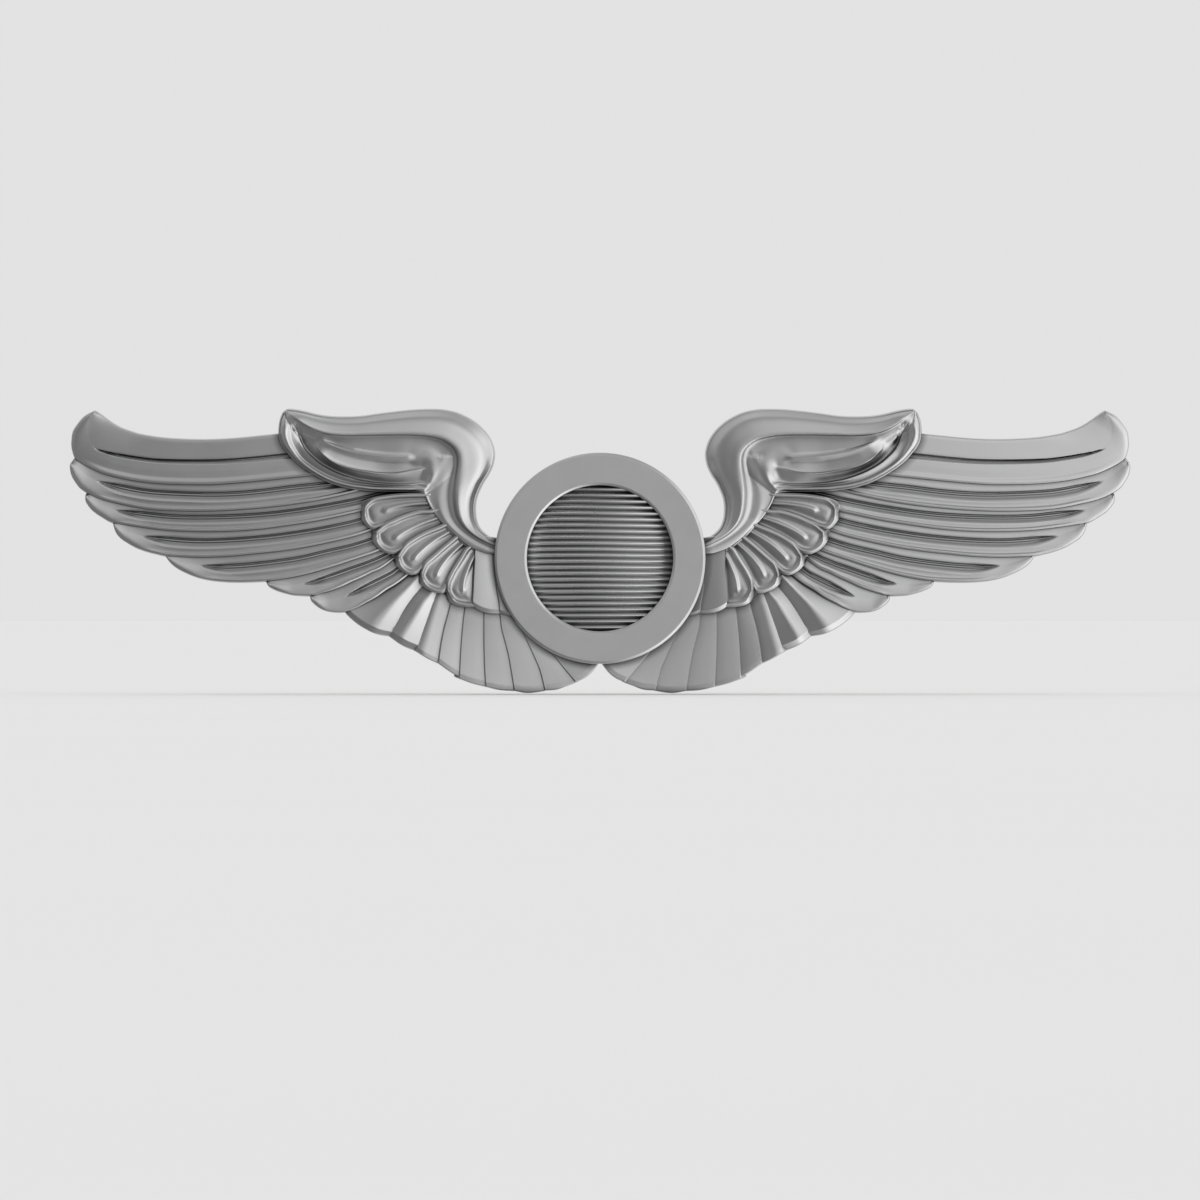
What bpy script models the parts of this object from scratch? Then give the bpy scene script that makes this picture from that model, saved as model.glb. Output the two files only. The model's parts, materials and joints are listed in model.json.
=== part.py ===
"""Aviator's wings pin: two feathered wings, a plain chamfered ring over their roots, a ribbed domed
disc inside the ring, a backing plate, and three posts with butterfly clutches.
Blender units are metres; tables and sizes below are in millimetres. The wings lie in the XZ plane,
+Z up, and the front faces -Y; left is -X. The pieces are built with the origin at the ring's centre
on the flat back plane, then all moved so that it is the middle of the centre clutch's rear face.
"Height" is the distance in front of the back plane; y is the distance behind it."""

import math

import bmesh
import bpy
import numpy as np
from mathutils import Vector

MM = 0.001
NAME = "pilot_wings_pin"
FIT = 0.02  # gap between pieces that touch

# ring and disc
RING_R_OUT, RING_R_IN = 7.58, 5.25
RING_FRONT, RING_CHAMFER = 3.40, 0.25
RING_LEDGE_R, RING_LEDGE_H = 4.60, 1.10
DISC_R = RING_R_IN - FIT
DISC_BACK, DISC_FACE, DISC_DOME = RING_LEDGE_H + FIT, 1.95, 0.35
RIBS, RIB_PITCH, RIB_HEIGHT = 24, 0.435, 0.17
RIB_HALF_SHARE = 0.46  # rib's half width, as a share of the pitch
RIB_STEPS = 4
SLAB_MARGIN = 0.6  # slab beyond the first and last rib
SLAB_COLUMNS = [-6.0, -2.7, 0.0, 2.7, 6.0]

# backing plate: a disc with a rounded tab to each side
PLATE_T = 0.55
PLATE_R, PLATE_TAB_X = 6.9, 11.6
PLATE_TAB_TOP, PLATE_TAB_BOTTOM, PLATE_FILLET = 1.4, -4.6, 1.4

# posts
POSTS = {"left": (-21.5, 3.3), "centre": (0.0, 0.0), "right": (21.5, 3.3)}  # x, z
POST_R, POST_TIP, POST_TIP_R = 0.575, 6.75, 0.12
POST_SHOULDER = 5.9  # y where the point begins
POST_FLANGE_R, POST_FLANGE_T = 1.9, 0.45
GROOVE_Y, GROOVE_DEPTH = (5.0, 5.12, 5.4, 5.52), 0.17  # y of rim, floor, floor, rim

# clutches
CLUTCH_FRONT = 2.00  # y of the base's front face, which leaves room for the cloth
CLUTCH_R, CLUTCH_WALL = 5.2, 0.28
CLUTCH_HOLE_R = POST_R + 0.12
CAP_R, CAP_REAR, CAP_REAR_R = 3.4, 7.30, 1.9
HINGE_X, HINGE_Y = 2.9, 3.45
LEAF_T, LEAF_W = 0.30, 2.2
LEAF_NOTCH_GAP = 0.1
WINDOW_X, WINDOW_GAP = 4.6, 0.12  # half length; clearance beside the leaf
WINDOW_BEFORE, WINDOW_BEHIND = 0.32, 0.5  # reach to either side of HINGE_Y
LEAF_PATH = [  # centre line: (distance from the clutch axis, y)
    (0.05, HINGE_Y), (HINGE_X, HINGE_Y), (4.1, HINGE_Y + 0.05), (4.75, HINGE_Y + 0.5),
    (5.15, 4.85), (5.45, 5.8), (5.85, 6.35), (6.35, 6.5),
]

# How far the feather blanks reach behind the back plane before they are faced off. Every blank
# has its own depth, so that no two backs share a plane.
PRIMARY_BACK, SECONDARY_BACK, COVERT_BACK, SHOULDER_BACK = 0.30, 0.47, 0.68, 0.90
BACK_STEP = 0.02
WELD = 2e-6  # metres
SHARP_ANGLE = math.radians(28)
RAIL_STEPS = 10  # steps between two design points of a smooth curve

# General height of the feathers: level from the root to BOW_X, then bowed back towards the tip.
ROOT_HEIGHT, BOW_DROP, BOW_X, BOW_LENGTH = 1.95, 1.15, 13.0, 25.0

# Cross-sections: (share of the width, height above the general surface)
QUILL_SHARE = 0.45
PRIMARY_PROFILE = [
    (0.0, -0.02), (0.26, 0.0), (0.36, -0.12), (QUILL_SHARE, 0.03), (0.54, -0.09),
    (0.64, 0.0), (0.80, -0.06), (0.95, 0.03), (1.0, -0.03),
]
PRIMARY_STATIONS = [0.0, 0.3, 0.55, 0.72, 0.84, 0.91, 0.95, 0.98, 0.995]
PRIMARY_TILT = 0.13  # upper edge lowered, lower edge raised
LEADING_TILT = 0.04  # the same for the leading primary's upper edge
SECONDARY_PROFILE = [(0.0, 0.17), (0.12, 0.16), (0.55, 0.02), (1.0, -0.24)]
SECONDARY_RIDGE = 0.22
SECONDARY_INNER = -0.24
SECONDARY_TIP_DROP = 0.3
COVERT_RISE = 0.42
COVERT_TIP_PROFILE = [(0.0, 0.10), (0.5, 0.05), (1.0, -0.05)]
COVERT_TIP_DROP = 0.18
COVERT_PROFILE = [
    (0.0, 0.04), (0.12, 0.14), (0.27, -0.04), (0.5, 0.05), (0.72, -0.06), (0.88, 0.04), (1.0, -0.1),
]
COVERT_STATIONS = [0.0, 0.35, 0.65, 0.8, 0.9, 0.96, 0.99]

# Lines of the left wing: (across, up) from the ring's centre, each from root to tip.
# Primaries: upper and lower edges and the quill between them.
PRIMARIES = [
    dict(  # leading primary
        upper=[
            (-19.37, 9.22), (-21.53, 9.01), (-22.97, 8.86), (-24.41, 8.72), (-25.84, 8.58),
            (-27.28, 8.48), (-28.72, 8.45), (-30.16, 8.49), (-31.6, 8.6), (-33.03, 8.83),
            (-33.75, 9.04), (-34.47, 9.3), (-35.05, 9.62), (-35.48, 9.91), (-35.91, 10.23),
            (-36.34, 10.52),
        ],
        lower=[
            (-18.66, 6.28), (-20.81, 6.02), (-22.25, 5.88), (-23.69, 5.73), (-25.13, 5.59),
            (-26.56, 5.47), (-28, 5.38), (-29.44, 5.38), (-30.88, 5.41), (-32.31, 5.51),
            (-33.75, 5.7), (-35.19, 6.02), (-35.91, 6.24), (-36.63, 6.56), (-37.35, 6.96),
            (-37.71, 7.28), (-37.92, 8), (-37.92, 8.5), (-37.85, 9.01), (-37.63, 9.44),
            (-37.06, 10.12), (-36.34, 10.52),
        ],
        quill=[
            (-19.37, 7.64), (-22.47, 7.43), (-25.13, 7.17), (-27.28, 7.02), (-29.44, 7),
            (-31.6, 7.05), (-33.03, 7.2), (-34.47, 7.43), (-35.55, 7.66), (-36.41, 7.92),
        ],
    ),
    dict(  # primary 2
        upper=[
            (-17.22, 6.92), (-19.37, 6.64), (-22.25, 6.31), (-25.13, 6.02), (-28, 5.82),
            (-30.88, 5.84), (-33.75, 6.13), (-35.91, 6.67), (-37.06, 7.21), (-37.63, 7.21),
            (-37.96, 6.85),
        ],
        lower=[
            (-16.5, 5.13), (-17.94, 4.77), (-19.37, 4.44), (-20.81, 4.16), (-22.97, 3.85),
            (-25.13, 3.64), (-27.28, 3.5), (-29.44, 3.47), (-31.6, 3.54), (-33.03, 3.69),
            (-34.47, 3.98), (-35.55, 4.23), (-36.27, 4.48), (-36.84, 4.77), (-37.35, 5.13),
            (-37.63, 5.49), (-37.85, 5.84), (-37.99, 6.2), (-38.04, 6.64), (-37.96, 6.85),
        ],
        quill=[
            (-17.94, 5.63), (-19.37, 5.34), (-22.25, 5.02), (-24.41, 4.74), (-26.56, 4.57),
            (-28.72, 4.55), (-31.6, 4.67), (-33.03, 4.82), (-34.47, 5.1), (-36.12, 5.52),
        ],
    ),
    dict(  # primary 3
        upper=[
            (-12.19, 6.49), (-14.34, 6.2), (-16.5, 5.63), (-17.94, 5.27), (-20.81, 4.69),
            (-22.97, 4.33), (-25.13, 4.08), (-27.28, 3.94), (-29.44, 3.9), (-31.6, 3.98),
            (-33.75, 4.23), (-35.55, 4.69), (-36.48, 4.84), (-36.92, 4.55),
        ],
        lower=[
            (-12.19, 4.12), (-14.34, 3.9), (-16.86, 3.51), (-17.94, 3.29), (-20.09, 2.83),
            (-22.25, 2.48), (-24.41, 2.19), (-26.56, 2.03), (-28.72, 2), (-30.88, 2.08),
            (-32.31, 2.23), (-33.75, 2.43), (-35.05, 2.65), (-35.77, 3.04), (-36.12, 3.26),
            (-36.48, 3.54), (-36.77, 3.9), (-36.92, 4.19), (-36.92, 4.55),
        ],
        quill=[
            (-17.94, 4.05), (-20.09, 3.65), (-22.97, 3.22), (-25.84, 2.98), (-28.72, 2.9),
            (-30.88, 2.95), (-33.03, 3.18), (-34.83, 3.44),
        ],
    ),
    dict(  # primary 4
        upper=[
            (-16.35, 4.19), (-17.94, 3.8), (-20.09, 3.29), (-22.25, 2.93), (-24.41, 2.65),
            (-26.56, 2.48), (-28.72, 2.44), (-30.88, 2.52), (-32.31, 2.68), (-33.75, 2.86),
            (-34.62, 2.83), (-34.94, 2.54),
        ],
        lower=[
            (-16.14, 2.18), (-17.94, 1.6), (-20.81, 0.96), (-22.97, 0.61), (-25.13, 0.38),
            (-26.56, 0.24), (-28, 0.17), (-29.44, 0.17), (-31.09, 0.24), (-31.81, 0.38),
            (-32.6, 0.58), (-33.39, 0.88), (-34.08, 1.28), (-34.47, 1.57), (-34.76, 1.96),
            (-34.94, 2.54),
        ],
        quill=[
            (-17.94, 2.47), (-20.09, 2.03), (-22.97, 1.58), (-25.84, 1.3), (-28.72, 1.19),
            (-30.88, 1.32), (-32.89, 1.57),
        ],
    ),
    dict(  # primary 5
        upper=[
            (-15.42, 2.68), (-17.94, 2.11), (-20.81, 1.46), (-22.97, 1.1), (-25.13, 0.85),
            (-26.56, 0.7), (-28, 0.63), (-29.44, 0.63), (-30.73, 0.6), (-31.16, 0.2),
        ],
        lower=[
            (-14.7, 1.17), (-15.78, 0.67), (-16.5, 0.38), (-17.94, -0.09), (-19.01, -0.45),
            (-20.45, -0.88), (-21.89, -1.24), (-23.33, -1.49), (-23.98, -1.55), (-24.77, -1.6),
            (-25.84, -1.63), (-26.92, -1.6), (-27.86, -1.51), (-28.72, -1.34), (-29.44, -1.09),
            (-30.12, -0.77), (-30.52, -0.52), (-30.88, -0.19), (-31.16, 0.2),
        ],
        quill=[
            (-16.5, 1.24), (-17.94, 0.78), (-19.73, 0.38), (-21.53, -0.05), (-23.69, -0.37),
            (-25.84, -0.59), (-27.28, -0.63), (-28.72, -0.54),
        ],
    ),
    dict(  # primary 6
        upper=[
            (-14.34, 1.53), (-15.78, 0.96), (-17.94, 0.38), (-20.45, -0.37), (-21.89, -0.73),
            (-22.97, -0.98), (-23.83, -1.34), (-23.9, -1.7),
        ],
        lower=[
            (-14.49, 0.38), (-14.85, 0.02), (-15.78, -0.66), (-16.5, -0.98), (-17.22, -1.34),
            (-17.94, -1.65), (-18.66, -1.99), (-19.37, -2.25), (-20.09, -2.46), (-20.67, -2.6),
            (-21.89, -2.57), (-22.61, -2.42), (-23.18, -2.24), (-23.69, -1.99), (-23.9, -1.7),
        ],
        quill=[
            (-14.7, 0.52), (-15.42, 0.17), (-16.5, -0.34), (-17.94, -0.84), (-19.37, -1.34),
            (-20.45, -1.67), (-21.32, -1.85),
        ],
    ),
    dict(  # innermost primary
        upper=[
            (-13.48, 0.67), (-14.34, 0.38), (-15.78, -0.19), (-17.22, -0.84), (-18.3, -1.38),
            (-19.37, -1.81), (-20.38, -2.28), (-20.74, -2.71),
        ],
        lower=[
            (-13.48, -0.77), (-13.98, -1.27), (-14.7, -1.81), (-15.42, -2.24), (-16.14, -2.75),
            (-16.86, -3.14), (-17.58, -3.52), (-18.3, -3.75), (-18.87, -3.79), (-19.52, -3.72),
            (-20.02, -3.54), (-20.38, -3.29), (-20.67, -3), (-20.74, -2.71),
        ],
        quill=[
            (-13.62, -0.12), (-14.49, -0.77), (-15.06, -1.2), (-16.5, -1.92), (-17.58, -2.42),
            (-18.3, -2.75),
        ],
    ),
]
# Secondaries: outer edge, inner edge (nearer the ring's centre line), tip from outer to inner
# edge, length of the tip's chamfer, and for the first two a ridge.
SECONDARIES = [
    dict(  # secondary 1
        outer=[
            (-12.54, -0.12), (-13.84, -1.09), (-14.7, -1.81), (-16.14, -2.75), (-17.58, -3.52),
            (-18.3, -3.86),
        ],
        inner=[
            (-11.75, -0.55), (-12.76, -1.92), (-13.48, -2.78), (-14.13, -3.72), (-14.63, -4.65),
            (-15.06, -5.55),
        ],
        tip=[
            (-18.3, -3.86), (-17.94, -4.22), (-17.43, -4.65), (-16.79, -5.05), (-16.07, -5.37),
            (-15.06, -5.55),
        ],
        ridge=[
            (-12.19, -0.34), (-13.34, -1.49), (-13.98, -2.14), (-14.7, -2.85), (-15.42, -3.64),
            (-16.21, -4.65),
        ],
        chamfer=0.30,
    ),
    dict(  # secondary 2
        outer=[
            (-11.75, -0.55), (-12.76, -1.92), (-13.48, -2.78), (-14.13, -3.72), (-14.7, -4.51),
            (-15.28, -5.44),
        ],
        inner=[
            (-10.96, -0.84), (-11.54, -2.14), (-11.9, -3.29), (-12.19, -4.22), (-12.62, -5.3),
            (-13.05, -6.66),
        ],
        tip=[(-15.28, -5.44), (-14.49, -6.02), (-13.91, -6.34), (-13.05, -6.66)],
        ridge=[
            (-11.18, -1.2), (-11.75, -2.28), (-12.62, -3), (-13.19, -3.86), (-13.77, -4.72),
            (-14.34, -5.59),
        ],
        chamfer=0.36,
    ),
    dict(  # secondary 3
        outer=[
            (-11.25, -0.84), (-11.83, -2.49), (-12.11, -3.29), (-12.4, -4.22), (-12.69, -5.15),
            (-12.98, -6.02), (-13.19, -6.66),
        ],
        inner=[
            (-10.1, -1.42), (-10.46, -3), (-10.75, -4.08), (-11.04, -5.3), (-11.25, -6.45),
            (-11.39, -7.6),
        ],
        tip=[(-13.19, -6.66), (-12.33, -7.17), (-11.39, -7.6)],
        chamfer=0.26,
    ),
    dict(  # secondary 4
        outer=[
            (-10.32, -1.56), (-10.68, -3.21), (-10.89, -4.08), (-11.18, -5.15), (-11.39, -6.23),
            (-11.57, -7.53),
        ],
        inner=[
            (-9.31, -2.14), (-9.53, -3.57), (-9.67, -4.58), (-9.78, -5.73), (-9.85, -6.95),
            (-9.88, -8.61),
        ],
        tip=[(-11.57, -7.53), (-10.75, -8.1), (-9.88, -8.61)],
        chamfer=0.33,
    ),
    dict(  # secondary 5
        outer=[
            (-9.53, -2.28), (-9.67, -3.57), (-9.78, -4.44), (-9.88, -5.51), (-9.96, -6.59),
            (-10.06, -8.61),
        ],
        inner=[
            (-8.09, -2.71), (-8.09, -3.93), (-8.09, -5.51), (-8.09, -6.95), (-8.02, -8.17),
            (-8.02, -9.22),
        ],
        tip=[(-10.06, -8.61), (-9.17, -8.93), (-8.02, -9.22)],
        chamfer=0.32,
    ),
    dict(  # secondary 6
        outer=[
            (-8.3, -2.71), (-8.3, -3.93), (-8.3, -5.51), (-8.28, -6.95), (-8.23, -8.17),
            (-8.16, -9.18),
        ],
        inner=[
            (-7.01, -2.85), (-6.94, -3.93), (-6.79, -5.15), (-6.51, -6.23), (-6.25, -7.31),
            (-6, -9.47),
        ],
        tip=[(-8.16, -9.18), (-7.15, -9.4), (-6, -9.47)],
        chamfer=0.29,
    ),
    dict(  # secondary 7
        outer=[
            (-7.3, -2.85), (-7.15, -4.08), (-7.01, -5.15), (-6.72, -6.23), (-6.47, -7.31),
            (-6.11, -9.47),
        ],
        inner=[
            (-5.72, -3.86), (-5.28, -5.01), (-4.85, -6.09), (-4.42, -7.02), (-4.06, -8.03),
            (-3.81, -9.43),
        ],
        tip=[(-6.11, -9.47), (-5.14, -9.61), (-3.81, -9.43)],
        chamfer=0.37,
    ),
    dict(  # secondary 8
        outer=[
            (-5.93, -4.08), (-5.5, -5.3), (-5.14, -6.09), (-4.71, -7.02), (-4.28, -8.03),
            (-3.92, -9.43),
        ],
        inner=[
            (-3.92, -5.59), (-3.34, -6.38), (-2.77, -7.1), (-2.26, -7.74), (-1.91, -8.32),
            (-1.62, -8.82),
        ],
        tip=[(-3.92, -9.43), (-3.13, -9.36), (-2.41, -9.11), (-1.62, -8.82)],
        chamfer=0.33,
    ),
    dict(  # secondary 9
        outer=[
            (-4.28, -5.59), (-3.77, -6.38), (-3.2, -7.1), (-2.62, -7.81), (-2.12, -8.39),
            (-1.76, -8.82),
        ],
        inner=[
            (-1.76, -5.01), (-1.26, -5.73), (-0.9, -6.3), (-0.61, -6.74), (-0.4, -7.17),
            (-0.18, -7.53),
        ],
        tip=[(-1.76, -8.82), (-1.19, -8.57), (-0.68, -8.17), (-0.18, -7.53)],
        chamfer=0.27,
    ),
]
# Coverts: outer and inner edges meet at the tip, or end on a chamfered tip as in SECONDARIES.
COVERTS = [
    dict(  # covert 1
        outer=[
            (-11.47, 4.77), (-12.62, 4.66), (-13.62, 4.64), (-14.7, 4.59), (-15.78, 4.44),
            (-16.5, 4.26), (-17, 4.05), (-17.22, 3.76), (-17.29, 3.4),
        ],
        inner=[
            (-11.32, 3.33), (-12.19, 3.26), (-12.9, 3.18), (-13.62, 3.04), (-14.34, 2.79),
            (-15.06, 2.5), (-15.78, 2.21), (-16.43, 2.14), (-17, 2.68), (-17.29, 3.4),
        ],
    ),
    dict(  # covert 2
        outer=[
            (-10.39, 3.98), (-11.39, 3.69), (-12.19, 3.47), (-12.9, 3.44), (-13.62, 3.26),
            (-14.34, 3.01), (-15.06, 2.68), (-15.78, 2.43), (-16.43, 2.18), (-16.5, 1.89),
        ],
        inner=[
            (-10.39, 2.47), (-11.39, 2.18), (-12.19, 1.82), (-12.9, 1.46), (-13.62, 1.03),
            (-14.34, 0.52), (-14.99, 0.35), (-15.49, 0.49), (-15.92, 0.78), (-16.28, 1.24),
            (-16.5, 1.89),
        ],
    ),
    dict(  # covert 3
        outer=[
            (-9.31, 3.47), (-10.53, 2.83), (-11.39, 2.39), (-12.19, 2.07), (-12.9, 1.75),
            (-13.62, 1.32), (-14.34, 0.81), (-14.85, 0.38), (-14.92, 0.09),
        ],
        inner=[
            (-9.31, 1.89), (-10.32, 1.24), (-10.89, 0.88), (-11.47, 0.38), (-12.04, -0.12),
            (-12.62, -0.66), (-13.12, -1.06), (-13.55, -1.16), (-13.91, -1.06), (-14.34, -0.77),
            (-14.7, -0.34), (-14.92, 0.09),
        ],
    ),
    dict(  # covert 4
        outer=[
            (-9.31, 2.68), (-9.88, 2.03), (-10.53, 1.46), (-10.89, 1.17), (-11.47, 0.67),
            (-12.04, 0.17), (-12.62, -0.34), (-13.12, -0.91), (-13.19, -1.34),
        ],
        inner=[
            (-8.45, 1.32), (-9.17, 0.67), (-9.74, 0.09), (-10.1, -0.48), (-10.39, -0.98),
            (-10.75, -1.7), (-11.18, -2.39), (-11.61, -2.46), (-12.04, -2.35), (-12.54, -2.1),
            (-12.98, -1.7), (-13.19, -1.34),
        ],
    ),
    dict(  # covert 5
        outer=[
            (-8.73, 1.82), (-9.02, 1.24), (-9.6, 0.74), (-9.88, 0.31), (-10.24, -0.27),
            (-10.6, -0.84), (-10.89, -1.42), (-11.25, -2.21), (-11.14, -2.64),
        ],
        inner=[
            (-7.73, 0.74), (-8.45, 0.17), (-8.59, -0.34), (-8.66, -1.2), (-8.73, -2.28),
            (-8.88, -3.36), (-9.31, -3.47), (-9.88, -3.43), (-10.46, -3.29), (-10.89, -3),
            (-11.14, -2.64),
        ],
    ),
    dict(  # covert 6
        outer=[
            (-8.73, 1.6), (-8.95, 0.52), (-8.95, -0.12), (-9.02, -1.2), (-9.06, -2.28),
            (-9.13, -3.36),
        ],
        inner=[
            (-7.01, 1.32), (-7.15, 0.17), (-7.22, -1.2), (-7.19, -2.28), (-7.08, -3.14),
            (-7.01, -3.93),
        ],
        tip=[(-9.13, -3.36), (-8.88, -3.57), (-8.45, -3.79), (-7.87, -3.92), (-7.01, -3.93)],
        chamfer=0.22,
    ),
    dict(  # covert 7
        outer=[
            (-7.37, 1.32), (-7.51, 0.17), (-7.44, -1.2), (-7.37, -2.28), (-7.22, -3.14),
            (-7.15, -3.86),
        ],
        inner=[
            (-5, 0.96), (-5.14, -0.12), (-5.28, -1.2), (-5.36, -2.28), (-5.43, -3.29),
            (-5.43, -4.22),
        ],
        tip=[(-7.15, -3.86), (-6.79, -3.99), (-6.36, -4.1), (-5.43, -4.22)],
        chamfer=0.14,
    ),
]
# Lines along the shoulder, from its top edge to its bottom edge: height, the height the line
# fades to towards the root (None if it runs the whole way), points (across, up) towards the root.
SHOULDER_LINES = [
    (3.02, None, [  # crest
        (-22.11, 10.34), (-21.53, 9.87), (-20.24, 9.44), (-19.01, 9.19), (-17.22, 9.08),
        (-14.34, 9.12), (-12.19, 9.15), (-10.89, 9.01), (-10.1, 8.65), (-9.53, 8.15),
        (-9.31, 7.64), (-9.35, 6.71), (-9.49, 5.77), (-9.71, 4.91), (-9.81, 4.19),
        (-9.74, 3.47), (-9.45, 2.75), (-8.95, 2.03), (-8.3, 1.46), (-7.73, 1.14), (-6.43, 0.74),
    ]),
    (2.72, None, [  # inner foot of the crest
        (-21.67, 9.8), (-21.1, 9.44), (-20.24, 9.12), (-19.37, 8.9), (-18.3, 8.79),
        (-16.86, 8.76), (-14.34, 8.79), (-12.9, 8.76), (-11.83, 8.65), (-11.11, 8.43),
        (-10.6, 8.15), (-10.24, 7.71), (-10.1, 7.21), (-10.1, 6.64), (-10.17, 5.99),
        (-10.24, 5.27), (-10.28, 4.55), (-10.24, 3.83), (-10.14, 3.33), (-9.88, 2.75),
        (-9.53, 2.18), (-9.02, 1.68), (-8.45, 1.28), (-7.87, 0.96), (-6.43, 0.52),
    ]),
    (2.62, None, [  # valley
        (-21.53, 9.55), (-20.67, 9.01), (-19.52, 8.54), (-18.3, 8.29), (-16.5, 8.22),
        (-14.34, 8.29), (-12.54, 8.32), (-11.61, 8.07), (-11.11, 7.57), (-10.82, 6.92),
        (-10.75, 5.99), (-10.82, 4.91), (-10.82, 3.83), (-10.68, 3.11), (-10.32, 2.47),
        (-9.81, 1.85), (-9.17, 1.32), (-8.45, 0.88), (-7.73, 0.63), (-6.43, 0.31),
    ]),
    (2.74, 2.62, [  # leaf, upper edge
        (-21.32, 9.37), (-20.38, 8.83), (-19.37, 8.32), (-18.3, 7.86), (-17.22, 7.58),
        (-16.14, 7.39), (-14.7, 7.25), (-13.26, 7.22), (-12.04, 7.32),
    ]),
    (2.68, 2.62, [  # leaf, lower edge
        (-21.24, 9.01), (-20.52, 8.43), (-19.73, 7.64), (-18.8, 6.99), (-17.79, 6.56),
        (-16.64, 6.31), (-15.42, 6.2), (-14.34, 6.24), (-13.48, 6.35), (-12.47, 6.64),
    ]),
    (2.25, 2.60, [  # pocket
        (-21.82, 10.09), (-21.75, 9.44), (-21.53, 8.72), (-21.1, 7.93), (-20.52, 7.28),
        (-19.81, 6.74), (-18.8, 6.31), (-17.79, 6.06), (-16.5, 5.92), (-15.06, 5.84),
        (-13.26, 5.88), (-12.4, 6.13),
    ]),
    (2.42, 2.58, [  # second ridge
        (-22.03, 9.94), (-22.03, 9.22), (-21.82, 8.43), (-21.24, 7.61), (-20.45, 6.96),
        (-19.37, 6.35), (-17.94, 5.84), (-16.86, 5.63), (-15.42, 5.49), (-13.98, 5.41),
        (-12.9, 5.49),
    ]),
    (2.55, 2.52, [  # rim
        (-22.32, 10.37), (-22.54, 9.65), (-22.54, 8.94), (-22.32, 8.29), (-21.82, 7.57),
        (-21.17, 6.96), (-20.24, 6.29), (-19.37, 5.84), (-18.66, 5.59), (-17.79, 5.34),
        (-16.86, 5.2), (-15.42, 5.09), (-13.98, 5.02), (-12.98, 5.01), (-12.26, 5.41),
    ]),
]
# Lines across the shoulder, outermost first: (top edge point, bottom edge point)
SHOULDER_SECTIONS = [
    ((-22.47, 10.59), (-22.68, 10.37)), ((-21.96, 10.55), (-22.9, 9.87)),
    ((-21.17, 10.41), (-22.97, 9.08)), ((-20.09, 10.16), (-22.68, 8)),
    ((-18.8, 10.04), (-21.89, 7.07)), ((-17.58, 10.06), (-20.67, 6.17)),
    ((-16.35, 10.2), (-19.01, 5.38)), ((-14.92, 10.39), (-17.07, 4.98)),
    ((-13.48, 10.53), (-15.06, 4.85)), ((-12.04, 10.58), (-13.48, 4.82)),
    ((-10.75, 10.45), (-12.83, 4.74)), ((-9.53, 9.98), (-12.67, 4.71)),
    ((-8.45, 9.12), (-12.6, 4.67)), ((-7.84, 8.07), (-12.53, 4.57)),
    ((-7.76, 7.07), (-12.45, 4.41)), ((-8.2, 5.99), (-12.33, 4.16)),
    ((-8.75, 5.02), (-12.19, 3.83)), ((-9.04, 4.12), (-11.9, 3.36)),
    ((-9.06, 3.18), (-11.47, 2.79)), ((-8.84, 2.25), (-10.82, 2.03)),
    ((-8.3, 1.62), (-9.96, 1.22)), ((-7.58, 1.21), (-8.88, 0.56)),
    ((-6.58, 0.92), (-6.94, 0.13)),
]
SHOULDER_TOP, SHOULDER_TOP_ENDS = 2.30, 2.1  # height of the top edge; the same near both ends
SHOULDER_BOTTOM, SHOULDER_BOTTOM_ROOT = 2.36, 2.40  # the same for the bottom edge
RELIEF_BASE = 2.2  # height the relief is scaled about at the outer end
RELIEF_AT_END = 0.55  # share of the relief at the outermost section
RELIEF_SECTIONS = 3.0  # sections over which it grows to full
FADE_END, FADE_SECTIONS = 13.5, 2.0  # section where the fading lines are gone, and run of the fade
MIN_STEP = 0.02  # least share of the width between two lines
MISSING_STEP = 0.3  # share of the rest of the width to a full-length line the section misses

for ob in list(bpy.data.objects):
    bpy.data.objects.remove(ob, do_unlink=True)
for col in list(bpy.data.collections):
    bpy.data.collections.remove(col)

parts = bpy.data.collections.new(NAME)
cutters = bpy.data.collections.new(NAME + "_cutters")
feathers = bpy.data.collections.new("feathers")
bpy.context.scene.collection.children.link(parts)
bpy.context.scene.collection.children.link(cutters)
cutters.children.link(feathers)


def metal(name, colour, roughness):
    mat = bpy.data.materials.new(name)
    mat.use_nodes = True
    bsdf = mat.node_tree.nodes["Principled BSDF"]
    bsdf.inputs["Base Color"].default_value = (*colour, 1.0)
    bsdf.inputs["Roughness"].default_value = roughness
    bsdf.inputs["Metallic"].default_value = 1.0
    mat.diffuse_color = (*colour, 1.0)
    return mat


SATIN = metal("satin_silver", colour=(0.62, 0.62, 0.63), roughness=0.38)
RIBBED = metal("oxidised_silver", colour=(0.42, 0.42, 0.43), roughness=0.42)
PLATED = metal("plated_back", colour=(0.66, 0.66, 0.66), roughness=0.3)
STEEL = metal("post_steel", colour=(0.70, 0.69, 0.67), roughness=0.25)
BRASS = metal("clutch_brass", colour=(0.80, 0.60, 0.27), roughness=0.28)
SPRING = metal("spring_brass", colour=(0.74, 0.53, 0.22), roughness=0.24)


# ---- curves and easing ----


def lerp(start, end, share):
    return (start[0] + (end[0] - start[0]) * share, start[1] + (end[1] - start[1]) * share)


def smooth(x):
    x = min(1.0, max(0.0, x))
    return x * x * (3 - 2 * x)


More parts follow.
